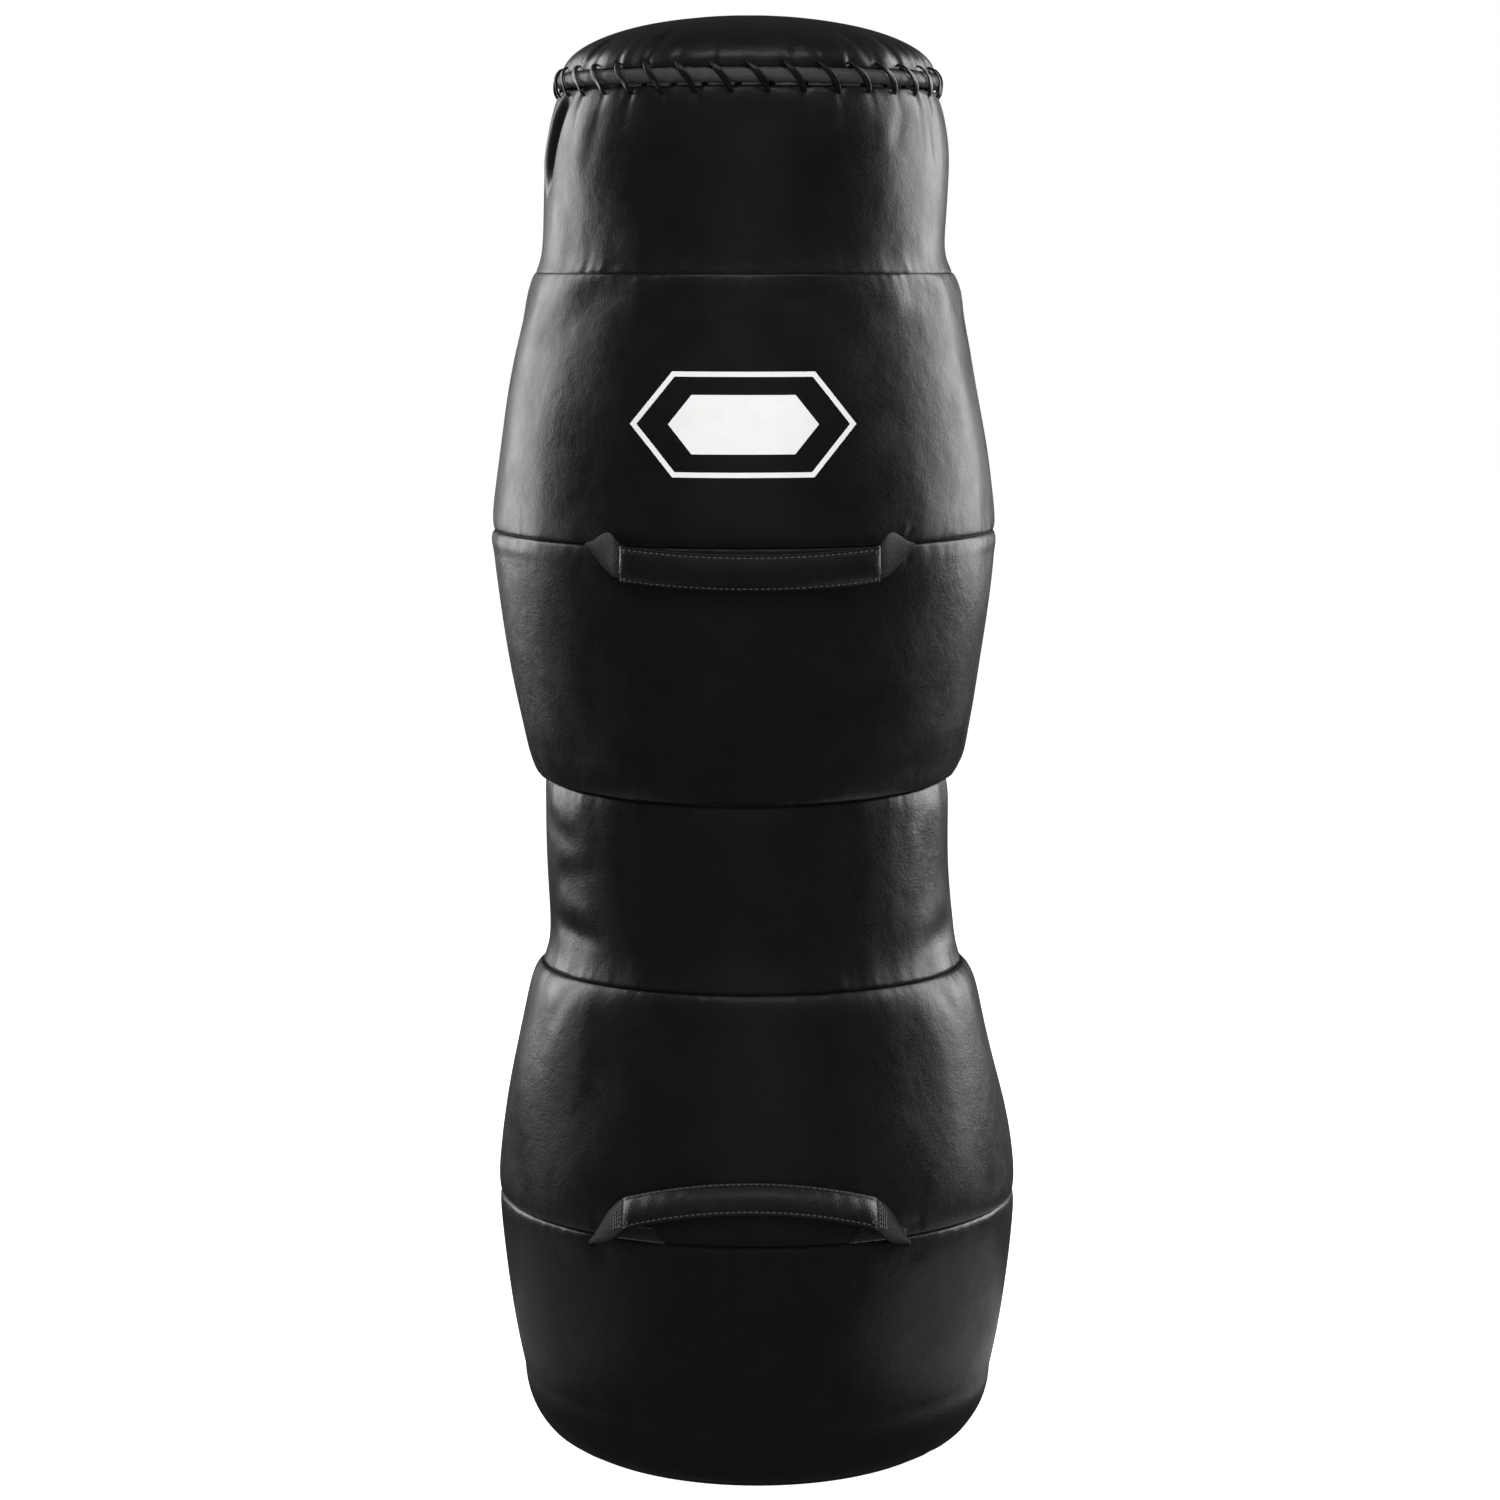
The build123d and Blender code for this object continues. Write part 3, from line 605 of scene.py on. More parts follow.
def cover_point(around, height, name, lift):
    """Points on a band's finished outside, lifted by lift, for what is printed or sewn on it."""
    line, _, below, above = even_line(band_outline(name), np.linspace(0, 1, 240))
    angle = np.linspace(-np.pi, np.pi, 721)
    inset = band_inset(name, line, below, above, angle)
    row = np.interp(height, line[:, 1], np.arange(len(line)))
    column = np.interp(around, angle, np.arange(len(angle)))
    low, left = np.floor(row).astype(int), np.floor(column).astype(int)
    low, left = np.clip(low, 0, len(line) - 2), np.clip(left, 0, len(angle) - 2)
    up, right = row - low, column - left
    depth = (inset[low, left] * (1 - up) * (1 - right) + inset[low + 1, left] * up * (1 - right)
             + inset[low, left + 1] * (1 - up) * right + inset[low + 1, left + 1] * up * right)
    radius = np.interp(height, line[:, 1], line[:, 0]) - depth + lift
    return np.stack([radius * np.sin(around) + lean_at(height), -radius * np.cos(around),
                     height + sag_at(height, around)], axis=-1)


# ---- Materials ---------------------------------------------------------------


def linear(text):
    """An sRGB hex value as linear red, green, blue and alpha."""
    parts = [int(text[i:i + 2], 16) / 255 for i in (1, 3, 5)]
    return [p / 12.92 if p <= 0.04045 else ((p + 0.055) / 1.055) ** 2.4 for p in parts] + [1.0]


def wire(tree, node, inputs):
    """Put values or other nodes' outputs on a node's inputs, by name or by place."""
    for name, value in inputs.items():
        if isinstance(value, bpy.types.NodeSocket):
            tree.links.new(value, node.inputs[name])
        else:
            node.inputs[name].default_value = value


def add_node(tree, kind, settings=None, inputs=None):
    """A node of a kind, with its settings, and with values or other nodes' outputs on its inputs."""
    node = tree.nodes.new(kind)
    for name, value in (settings or {}).items():
        setattr(node, name, value)
    wire(tree, node, inputs or {})
    return node


def start_material(name):
    """An empty material with its shader, and the tree and object coordinates to build on."""
    material = bpy.data.materials.new(name)
    material.use_nodes = True
    tree = material.node_tree
    shader = tree.nodes["Principled BSDF"]
    place = add_node(tree, "ShaderNodeTexCoord").outputs["Object"]
    return material, tree, shader, place


def per_mm(size):
    """A pattern's scale for features of this size in millimetres."""
    return 1 / (size * MM)


def dimmed(colour_value, share):
    """A linear colour made darker."""
    return [part * share for part in colour_value[:3]] + [1.0]


# A Mix node's places: its share, and its first and second colour.
SHARE, FIRST, SECOND, MIXED = 0, 6, 7, 2


def grained_leather(name, hex_colour, rough, grain_mm, grain_depth, shine=0.5):
    """Black synthetic leather, PU film on cloth, embossed with a pebble grain.

    A satin film: it gives wide soft highlights, broken up by the grain, with duller rubbed patches.
    The grain is drawn coarser than the real half millimetre so that it shows.
    """
    material, tree, shader, place = start_material(name)
    pebbles = add_node(tree, "ShaderNodeTexVoronoi", {}, {"Vector": place, "Scale": per_mm(grain_mm)})
    fine = add_node(tree, "ShaderNodeTexNoise", {},
                    {"Vector": place, "Scale": per_mm(0.7 * grain_mm), "Detail": 3.0, "Roughness": 0.6})
    relief = add_node(tree, "ShaderNodeMath", {"operation": "ADD"},
                      {0: pebbles.outputs["Distance"], 1: fine.outputs["Fac"]})
    grain = add_node(tree, "ShaderNodeBump", {},
                     {"Height": relief.outputs[0], "Distance": grain_depth * MM, "Strength": 1.0})
    # The stuffing behind shows as waves a thumb wide.
    waves = add_node(tree, "ShaderNodeTexNoise", {}, {"Vector": place, "Scale": per_mm(15), "Detail": 3.0})
    uneven = add_node(tree, "ShaderNodeBump", {},
                      {"Height": waves.outputs["Fac"], "Distance": 0.6 * MM, "Strength": 1.0,
                       "Normal": grain.outputs["Normal"]})
    # Hand-sized patches are rubbed duller and a little dustier.
    patches = add_node(tree, "ShaderNodeTexNoise", {},
                       {"Vector": place, "Scale": per_mm(38), "Detail": 5.0, "Roughness": 0.62})
    gloss = add_node(tree, "ShaderNodeMapRange", {},
                     {"Value": patches.outputs["Fac"], "From Min": 0.3, "From Max": 0.7,
                      "To Min": rough - 0.055, "To Max": rough + 0.13})
    base = linear(hex_colour)
    dusty = [min(1.0, part * 1.7 + 0.0015) for part in base[:3]] + [1.0]
    shade = add_node(tree, "ShaderNodeMix", {"data_type": "RGBA"},
                     {SHARE: patches.outputs["Fac"], FIRST: base, SECOND: dusty})
    wire(tree, shader, {"Base Color": shade.outputs[MIXED], "Roughness": gloss.outputs["Result"],
                        "Normal": uneven.outputs["Normal"], "IOR": 1.5, "Specular IOR Level": shine,
                        "Coat Weight": 0.24 * shine, "Coat Roughness": 0.22})
    return material


def woven_fabric(name, hex_colour, thread_mm, rough):
    """A plain weave of nylon, canvas or cotton: crossed waves of threads, matt, with fuzz, and painted shade
    between the threads.
    """
    material, tree, shader, place = start_material(name)
    # Two sets of bands cross, one wave for each thread: a wave texture has 3.2 waves in a unit.
    warp, weft = [add_node(tree, "ShaderNodeTexWave", {"bands_direction": way},
                           {"Vector": place, "Scale": per_mm(3.2 * thread_mm), "Distortion": 0.4})
                  for way in "XZ"]
    weave = add_node(tree, "ShaderNodeMath", {"operation": "MULTIPLY"},
                     {0: warp.outputs["Fac"], 1: weft.outputs["Fac"]})
    bump = add_node(tree, "ShaderNodeBump", {},
                    {"Height": weave.outputs[0], "Distance": 0.25 * MM, "Strength": 1.0})
    base = linear(hex_colour)
    # Painted shade: the colour is darker where the weave's bump is low, in the hollows between the threads.
    shade = add_node(tree, "ShaderNodeMix", {"data_type": "RGBA"},
                     {SHARE: weave.outputs[0], FIRST: dimmed(base, 0.6), SECOND: base})
    wire(tree, shader, {"Base Color": shade.outputs[MIXED], "Normal": bump.outputs["Normal"],
                        "Roughness": rough, "Sheen Weight": 0.2})
    return material


def cellular_foam(name, hex_colour, cell_mm):
    """Open-cell foam or matted textile: pitted all over and quite matt, with painted shade in the pits."""
    material, tree, shader, place = start_material(name)
    cells = add_node(tree, "ShaderNodeTexVoronoi", {}, {"Vector": place, "Scale": per_mm(cell_mm)})
    bump = add_node(tree, "ShaderNodeBump", {},
                    {"Height": cells.outputs["Distance"], "Distance": 0.5 * MM, "Strength": 1.0})
    base = linear(hex_colour)
    # Painted shade: the colour is darker towards each cell's middle, where the bump's pits are.
    shade = add_node(tree, "ShaderNodeMix", {"data_type": "RGBA"},
                     {SHARE: cells.outputs["Distance"], FIRST: dimmed(base, 0.7), SECOND: base})
    wire(tree, shader, {"Base Color": shade.outputs[MIXED], "Normal": bump.outputs["Normal"],
                        "Roughness": 0.95})
    return material


def printed_film(name, hex_colour):
    """A white heat-pressed film: flat and matt, with a faint leather grain showing through."""
    material, tree, shader, place = start_material(name)
    grain = add_node(tree, "ShaderNodeTexNoise", {}, {"Vector": place, "Scale": per_mm(1.6), "Detail": 3.0})
    bump = add_node(tree, "ShaderNodeBump", {}, {"Height": grain.outputs["Fac"], "Distance": 0.08 * MM})
    wear = add_node(tree, "ShaderNodeTexNoise", {}, {"Vector": place, "Scale": per_mm(22), "Detail": 6.0})
    base = linear(hex_colour)
    shade = add_node(tree, "ShaderNodeMix", {"data_type": "RGBA"},
                     {SHARE: wear.outputs["Fac"], FIRST: base, SECOND: dimmed(base, 0.86)})
    wire(tree, shader, {"Base Color": shade.outputs[MIXED], "Normal": bump.outputs["Normal"],
                        "Roughness": 0.5})
    return material


def twisted_thread(name, hex_colour):
    """Bonded polyester thread: round, slightly glossy, with its twist as fine ridges."""
    material, tree, shader, place = start_material(name)
    twist = add_node(tree, "ShaderNodeTexNoise", {}, {"Vector": place, "Scale": per_mm(0.6), "Detail": 1.0})
    bump = add_node(tree, "ShaderNodeBump", {}, {"Height": twist.outputs["Fac"], "Distance": 0.1 * MM})
    wire(tree, shader, {"Normal": bump.outputs["Normal"], "Base Color": linear(hex_colour),
                        "Roughness": 0.45})
    return material


MATERIALS = {}


def material_named(key):
    """One of the dummy's materials, made when it is first asked for."""
    colours = bpy.context.scene.dummy_colours
    makers = {
        # Leather: colour, roughness, grain and its depth in millimetres, and how much it shines.
        "cover": (grained_leather, "Black PU leather, pebble grain", colours.leather, 0.36, 2.0, 0.10),
        "grip": (grained_leather, "Black PU leather, grip", colours.grip, 0.42, 1.8, 0.2, 0.5),
        "handle": (grained_leather, "Black PU leather, strap ends", colours.handle, 0.62, 1.8, 0.2, 0.14),
        "rim": (grained_leather, "Black PU leather, welt", colours.welt, 0.5, 1.4, 0.06, 0.4),
        "lace": (grained_leather, "Leather lace", colours.lace, 0.34, 1.2, 0.05),
        # Fabric: colour, thread in millimetres and roughness.
        "webbing": (woven_fabric, "Black nylon webbing", colours.webbing, 1.4, 0.6),
        "canvas": (woven_fabric, "Cotton canvas", colours.canvas, 0.8, 0.85),
        "cotton": (woven_fabric, "Cotton cord", colours.cotton, 1.0, 0.85),
        # Foam and stuffing: colour and cell in millimetres.
        "foam": (cellular_foam, "Polyurethane foam", colours.foam, 1.5),
        "stuffing": (cellular_foam, "Shredded textile", colours.stuffing, 6.0),
        "print": (printed_film, "Heat-pressed white film", colours.mark),
        "thread": (twisted_thread, "Bonded polyester thread", colours.thread),
    }
    if key not in MATERIALS:
        maker, *values = makers[key]
        MATERIALS[key] = maker(*values)
    return MATERIALS[key]


# ---- Stitches ----------------------------------------------------------------


def stitch_grids(points, along, outward, size, width=0.6 * MM):
    """Small spindles, one for each point: rows of 6 points whose radius swells to the middle."""
    share = np.linspace(-0.5, 0.5, 5)
    swell = np.sqrt(np.clip(1 - (2 * share) ** 2, 0.05, 1)) * width
    turn = np.arange(6) * np.pi / 3
    side = np.cross(along, outward)
    centre = points[:, None, None] + along[:, None, None] * (share * size)[None, :, None, None]
    ring = (side[:, None, None] * np.cos(turn)[None, None, :, None]
            + outward[:, None, None] * np.sin(turn)[None, None, :, None])
    return centre + ring * swell[None, :, None, None]


def stitches_piece(name, rows, size, body):
    """One piece of many stitches; rows holds (points, along, outward) arrays."""
    grids = [grid for row in rows for grid in stitch_grids(*row, size)]
    piece = join_tubes(name, grids, material_named("thread"))
    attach(piece, body)
    return piece


# ---- Operators ---------------------------------------------------------------

BANDS = (("base", "base_panel", "lower_body"), ("thigh", "thigh_panel", "lower_body"),
         ("hip", "hip_panel", "lower_body"), ("waist", "waist_panel", "lower_body"),
         ("ribs", "ribs_panel", "upper_body"), ("shoulder", "shoulder_panel", "upper_body"),
         ("neck", "neck_panel", "upper_body"))


class DUMMY_OT_cover(bpy.types.Operator):
    """Make the leather bands of the cover and the base"""
    bl_idname = "dummy.cover"
    bl_label = "Make Cover"

    def execute(self, context):
        for name, node, body in BANDS:
            if name == "base":
                self.base(node, body)
                continue
            piece = band_piece(name, node, body, material_named("cover"))
            if name == "waist":
                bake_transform(piece)
        self.back_stitches()
        return {"FINISHED"}

    def base(self, node, body):
        """The base: a shallow dish round to its seam, closed under the middle by a pole."""
        sizes = bpy.context.scene.dummy_cover
        angle = np.arange(ANGLE_STEPS) * 2 * np.pi / ANGLE_STEPS
        line, normal, _, above = even_line(band_outline("base"), np.linspace(0, 1, 70) ** 0.6)
        rolled = edge_fall(above) * np.clip(line[:, 0] / sizes.base_radius, 0, 1) ** 6
        inset = rolled[:, None] + 0 * angle
        outside = round_points(line, normal, inset, angle)
        edge = round_points(line[-1:], normal[-1:], inset[-1:] + 4 * MM, angle)
        rows = np.arange(len(line) - 4, 2, -8)
        inside = round_points(line[rows], normal[rows], inset[rows] + sizes.leather, angle)
        grid = np.concatenate([outside, edge, inside])
        rows_all, columns = grid.shape[:2]
        points = np.concatenate([grid.reshape(-1, 3), [[lean_at(0.0), 0, 0]],
                                 [[lean_at(0.0), 0, sizes.leather]]])
        ring = np.arange(columns)
        triangles = np.concatenate([fan(ring[::-1], rows_all * columns),
                                    fan(ring + (rows_all - 1) * columns, rows_all * columns + 1)])
        quads = grid_faces(rows_all, columns, False, True)
        piece = make_piece(node, points, quads, triangles, material_named("cover"))
        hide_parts(node)
        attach(piece, body)

    def back_stitches(self):
        """Two upright rows of stitches beside the back seam of each band but the base and the waist."""
        rows = {"lower_body": [], "upper_body": []}
        for name, _, body in BANDS:
            if name in ("base", "waist"):
                continue
            line = band_outline(name)
            height = np.arange(line[0, 1] + 12 * MM, line[-1, 1] - 10 * MM, 5 * MM)
            for beside in (-3.2 * MM, 3.2 * MM):
                around = np.pi - beside / np.interp(height, line[:, 1], line[:, 0])
                points = cover_point(around, height, name, 0.1 * MM)
                along = np.gradient(points, axis=0)
                along /= np.linalg.norm(along, axis=1)[:, None]
                outward = np.stack([np.sin(around), -np.cos(around), 0 * around], axis=1)
                rows[body].append((points, along, outward))
        for body, stitched in rows.items():
            stitches_piece(f"{body}_back_stitches", stitched, 3.6 * MM, body)


CROWN_STEPS = 680
# Folds from the rim up: degrees round, metres from the edge, half length, width and depth in
# millimetres, and slant in degrees.
CROWN_FOLDS = ((52, 0.020, 22, 5, 1.6, 84), (38, 0.024, 20, 5, 1.0, 96), (66, 0.018, 18, 5, 1.3, 80),
               (-58, 0.022, 20, 5, 1.0, 95), (-30, 0.026, 22, 6, 0.8, 84), (14, 0.02, 18, 5, 0.8, 92),
               (140, 0.02, 20, 5, 1.2, 85), (-120, 0.02, 20, 5, 1.2, 98))


class DUMMY_OT_crown(bpy.types.Operator):
    """Make the domed crown with its gathers round the rim"""
    bl_idname = "dummy.crown"
    bl_label = "Make Crown"

    def execute(self, context):
        # Rows are close together near the rim: an even part, and one that slows down to the edge.
        angle = np.arange(CROWN_STEPS) * 2 * np.pi / CROWN_STEPS
        slowing = 1 - 0.2 * (1 - np.linspace(0, 1, 34)[1:]) ** 1.7
        share = np.concatenate([np.linspace(0.02, 0.8, 26), slowing])
        tilt = np.arcsin(share)
        leather = context.scene.dummy_cover.leather
        rise = CROWN_TOP_Z - CROWN_Z
        line = np.stack([CROWN_RADIUS * share, CROWN_Z + rise * np.cos(tilt)], axis=1)[::-1]
        normal = np.stack([share / CROWN_RADIUS, np.cos(tilt) / rise], axis=1)[::-1]
        normal /= np.hypot(normal[:, 0], normal[:, 1])[:, None]
        edge = np.concatenate([[0], np.cumsum(np.hypot(*np.diff(line, axis=0).T))])
        around = np.meshgrid(angle, edge)[0]
        inset = hole_pull(around, edge, 0.0, 11 * MM)
        inset += (0.8 * MM * np.exp(-edge / (4 * MM)))[:, None]
        fade = np.exp(-edge / (26 * MM))[:, None]
        inset -= 0.3 * MM * fade * ripple(angle, 31, 18, 60)
        inset -= 0.5 * MM * np.exp(-edge / (55 * MM))[:, None] * ripple(angle, 32, 5, 16) * (1 - fade * 0.4)
        for degrees, level, run, width, depth, slant in CROWN_FOLDS:
            wrapped = (around - math.radians(degrees) + np.pi) % (2 * np.pi) - np.pi
            inset -= crease(wrapped, edge[:, None] + 0 * around, line[:, 0, None], (0, level),
                            run * MM, width * MM, depth * MM, slant)
        outside = round_points(line, normal, inset, angle)
        foot = round_points(line[:1], normal[:1], inset[:1] + 3 * MM, angle)
        rows = np.arange(len(line) - 3, 1, -6)
        inside = round_points(line[rows], normal[rows], inset[rows] + leather, angle)
        grid = np.concatenate([inside, foot, outside])
        count, columns = grid.shape[:2]
        middle = lean_at(CROWN_TOP_Z)
        points = np.concatenate([grid.reshape(-1, 3), [[middle, 0, CROWN_TOP_Z - 2.6 * MM]],
                                 [[middle, 0, CROWN_TOP_Z]]])
        ring = np.arange(columns)
        triangles = np.concatenate([fan(ring[::-1], count * columns),
                                    fan(ring + (count - 1) * columns, count * columns + 1)])
        piece = make_piece("crown_panel", points, grid_faces(count, columns, False, True), triangles,
                           material_named("cover"))
        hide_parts("crown_panel")
        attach(piece, "upper_body")
        return {"FINISHED"}


# How far the lace runs from the welt's middle, in millimetres, at each side of it in degrees:
# close by outside (0), and out to the holes above (90) and below (-90).
LACE_SIDES = (-270, -220, -180, -150, -110, -88, -70, -50, -30, 0, 30, 60, 90)
LACE_REACHES = (10.6, 9.6, 8.6, 9.6, 14.0, 14.6, 13.2, 9.6, 7.6, 7.1, 7.3, 8.3, 10.6)


class DUMMY_OT_rim(bpy.types.Operator):
    """Make the corded welt and the lace whipped round it"""
    bl_idname = "dummy.rim"
    bl_label = "Make Laced Rim"

    def execute(self, context):
        rim = context.scene.dummy_rim
        middle = WELT_OUTER - rim.welt
        pitch = 2 * np.pi / rim.wraps
        # The welt: a circle carried round the rim, pinched where each slanting turn crosses it.
        angle = np.arange(rim.wraps * 24) * pitch / 24
        section = np.arange(28) * 2 * np.pi / 28
        around, turn = np.meshgrid(angle, section)
        crossing = around / pitch - 0.5 * rim.slant * (1 - np.sin(turn))
        beside = (crossing - np.round(crossing)) * pitch * middle
        pinch = rim.squeeze * np.exp(-(beside / (1.9 * MM)) ** 2)
        radius = rim.welt - pinch + 0.15 * MM * ripple(angle, 41, 20, 90)
        reach = middle + radius * np.cos(turn)
        welt = np.stack([reach * np.sin(around) + lean_at(RIM_Z), -reach * np.cos(around),
                         RIM_Z + radius * np.sin(turn)], axis=-1)
        piece = loop_piece("rim_welt_cover", welt, material_named("rim"))
        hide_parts("rim_welt_cover")
        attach(piece, "upper_body")
        self.lace(rim, middle, pitch)
        return {"FINISHED"}

    def lace(self, rim, middle, pitch):
        """A flat lace on a path that turns round the welt, pear-shaped, while it goes round the rim."""
        steps = 36
        turn = np.arange(rim.wraps * steps) / steps
        phase = 90 - 360 * (turn % 1)
        # Read at seven nearby places and averaged, so that it has no corners.
        reach_at = np.mean([np.interp((phase + 270 + step) % 360 - 270, LACE_SIDES, LACE_REACHES)
                            for step in np.linspace(-9, 9, 7)], axis=0)
        out = np.cos(np.radians(phase)) * reach_at * MM
        up = np.sin(np.radians(phase)) * reach_at * MM
        part = turn % 1
        gone = np.where(part < 0.5, 2 * rim.slant * part,
                        rim.slant + 2 * (1 - rim.slant) * (part - 0.5))
        around = (np.floor(turn) + gone) * pitch
        reach = middle + out + 0.25 * MM * ripple(around, 43, 10, 34)
        path = np.stack([reach * np.sin(around) + lean_at(RIM_Z), -reach * np.cos(around), RIM_Z + up],
                        axis=1)
        tangent = np.roll(path, -1, axis=0) - np.roll(path, 1, axis=0)
        tangent /= np.linalg.norm(tangent, axis=1)[:, None]
        centre = np.stack([middle * np.sin(around) + lean_at(RIM_Z), -middle * np.cos(around),
                           RIM_Z + 0 * around], axis=1)
        away = path - centre
        away -= tangent * (away * tangent).sum(axis=1)[:, None]
        away /= np.linalg.norm(away, axis=1)[:, None]
        side = np.cross(tangent, away)
        # Its section is an oval squared off by the power, and it is narrower where it enters a hole.
        ring = np.arange(12) * np.pi / 6
        wide = np.sign(np.cos(ring)) * np.abs(np.cos(ring)) ** 0.7 * rim.lace_width / 2
        thick = np.sign(np.sin(ring)) * np.abs(np.sin(ring)) ** 0.7 * rim.lace_thickness / 2
        narrow = 1 - 0.25 * np.clip(np.abs(up) / (11 * MM) - 0.4, 0, 0.8)
        grid = (path[:, None] + side[:, None] * (wide[None, :, None] * narrow[:, None, None])
                + away[:, None] * thick[None, :, None])
        piece = loop_piece("rim_lace", grid, material_named("lace"))
        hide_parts("rim_lace")
        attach(piece, "upper_body")


SHELL_ROWS = 24
SHELL_STEPS = 120


def shell_ring(bands, outer, inner, low, high):
    """A plain ring between two insets of the cover's outline, from one height to another."""
    line = np.concatenate([band_outline(name) for name in bands])
    line = line[(line[:, 1] >= low) & (line[:, 1] <= high)]
    line, normal, _, _ = even_line(line, np.linspace(0, 1, SHELL_ROWS))
    angle = np.arange(SHELL_STEPS) * 2 * np.pi / SHELL_STEPS
    flat = np.zeros((SHELL_ROWS, SHELL_STEPS))
    radial = normal * 0 + [1, 0]
    outside = round_points(line, radial, flat + outer, angle)
    inside = round_points(line[::-1], radial, flat + inner, angle)
    return np.concatenate([outside, inside])


class DUMMY_OT_stuffing(bpy.types.Operator):
    """Make the tapes, liner, foam and stuffing inside the cover"""
    bl_idname = "dummy.stuffing"
    bl_label = "Make Stuffing"

    def execute(self, context):
        half = 12 * MM        # of a tape's width
        wedge = 17 * MM       # from the waist's hinge to the stuffing on each side of it
        floor = 18 * MM
        top = NECK_TOP_Z - 15 * MM
        heart = 60 * MM       # how far in the stuffing's rows end, round its poles
        lower = ("thigh", "hip", "waist")
        upper = ("waist", "ribs", "shoulder", "neck")
        # Node, bands, outer and inner distance inside the cover in millimetres, and its two heights.
        rings = (
            ("hip_seam_tape", ("thigh", "hip"), 9.6, 11.0, HIP_Z - half, HIP_Z + half),
            ("waist_bottom_tape", ("hip", "waist"), 9.6, 11.0, WAIST_LOW_Z - half, WAIST_LOW_Z + half),
            ("waist_top_tape", ("ribs",), 9.6, 11.0, WAIST_TOP_Z, WAIST_TOP_Z + 2 * half),
            ("chest_seam_tape", ("ribs", "shoulder"), 9.6, 11.0, CHEST_Z - half, CHEST_Z + half),
            ("neck_seam_tape", ("shoulder", "neck"), 9.6, 11.0, NECK_Z - half, NECK_Z + half),
            ("lower_liner", lower, 11.4, 12.4, floor, BEND_Z - wedge),
            ("upper_liner", upper, 11.4, 12.4, BEND_Z + wedge, top),
            ("lower_foam", lower, 12.8, 24.5, floor, BEND_Z - wedge),
            ("upper_foam", upper, 12.8, 24.5, BEND_Z + wedge, top),
            ("lower_fill", lower, 25.0, None, floor, BEND_Z - wedge),
            ("upper_fill", upper, 25.0, None, BEND_Z + wedge, top),
        )
        slots = {"tape": ("webbing", "seam_tape"), "liner": ("canvas", "liner_canvas"),
                 "foam": ("foam", "pad_foam"), "fill": ("stuffing", "textile_stuffing")}
        bodies = {node: body for body, nodes in frame["record"]["behaviour"]["bodies"].items()
                  for node in nodes}
        for node, bands, outer, inner, low, high in rings:
            key, slot = slots[node.split("_")[-1]]
            if inner is None:
                grid = shell_ring(bands, outer * MM, heart, low, high)[:SHELL_ROWS]
                piece = join_tubes(node, [grid], material_named(key))
            else:
                grid = shell_ring(bands, outer * MM, inner * MM, low, high)
                piece = loop_piece(node, grid, material_named(key))
            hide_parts(node)
            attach(piece, bodies[node])
        self.base_tape()
        for node, key in (("rim_welt_cord", "cotton"), ("crown_pad", "foam")):
            frame["nodes"][node].material_slots[0].material = material_named(key)
        return {"FINISHED"}

    def base_tape(self):
        """The tape along the base seam: a flat ring lying on the base panel."""
        angle = np.arange(SHELL_STEPS) * 2 * np.pi / SHELL_STEPS
        outer = bpy.context.scene.dummy_cover.base_radius - 10 * MM
        inner = outer - 20 * MM
        low, high = 3.2 * MM, 4.7 * MM
        line = np.array([(outer, low), (outer, high), (inner, high), (inner, low)])
        grid = round_points(line, line * 0, np.zeros((4, SHELL_STEPS)), angle)
        piece = loop_piece("base_seam_tape", grid, material_named("webbing"))
        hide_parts("base_seam_tape")
        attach(piece, "lower_body")


# ---- The print ---------------------------------------------------------------


def hexagon(width, height, point):
    """The corners of a hexagon stretched sideways, with its points left and right."""
    flat = width / 2 - height * point
    return np.array([(width / 2, 0), (flat, height / 2), (-flat, height / 2),
                     (-width / 2, 0), (-flat, -height / 2), (flat, -height / 2)])


def print_patch(name, outer, inner, middle):
    """A closed film between two outlines of the same corners, laid on the shoulder band.

    Its first parameter runs round the outlines and its second from the outer one to the inner one.
    """
    film = 0.3 * MM
    step = np.linspace(0, 1, 30, endpoint=False)
    rows = []
    # The rows crowd together at both edges, where the film's face turns over into its edge.
    for share in (1 - np.cos(np.pi * np.linspace(0, 1, 26))) / 2:
        corners = outer * (1 - share) + inner * share
        sides = np.roll(corners, -1, axis=0) - corners
        rows.append(np.concatenate([corner + side * step[:, None] for corner, side in zip(corners, sides)]))
    flat = np.array(rows)
    height = middle + flat[..., 1]
    line = band_outline("shoulder")
    around = np.arcsin(flat[..., 0] / np.interp(height, line[:, 1], line[:, 0]))
    top = cover_point(around, height, "shoulder", film)
    bottom = cover_point(around, height, "shoulder", -film)
    return loop_piece(name, np.concatenate([top, bottom[::-1]]), material_named("print"))


class DUMMY_OT_print(bpy.types.Operator):
    """Make the generic printed mark on the chest"""
    bl_idname = "dummy.chest_print"
    bl_label = "Make Chest Print"

    def execute(self, context):
        mark = context.scene.dummy_print
        middle = NECK_Z - mark.drop
        outer = hexagon(mark.width, mark.height, mark.point)
        inner = hexagon(mark.width - 2.5 * mark.line, mark.height - 2 * mark.line, mark.point)
        core = hexagon(mark.core_width, mark.core_height, mark.point)
        ring = print_patch("chest_print_ring", outer, inner, middle)
        # The solid mark shrinks to almost a point in its middle.
        solid = print_patch("chest_print_core", core, core * 0.002, middle)
        for piece in (ring, solid):
            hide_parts("chest_print")
            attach(piece, "upper_body")
        return {"FINISHED"}


# ---- Handles -----------------------------------------------------------------


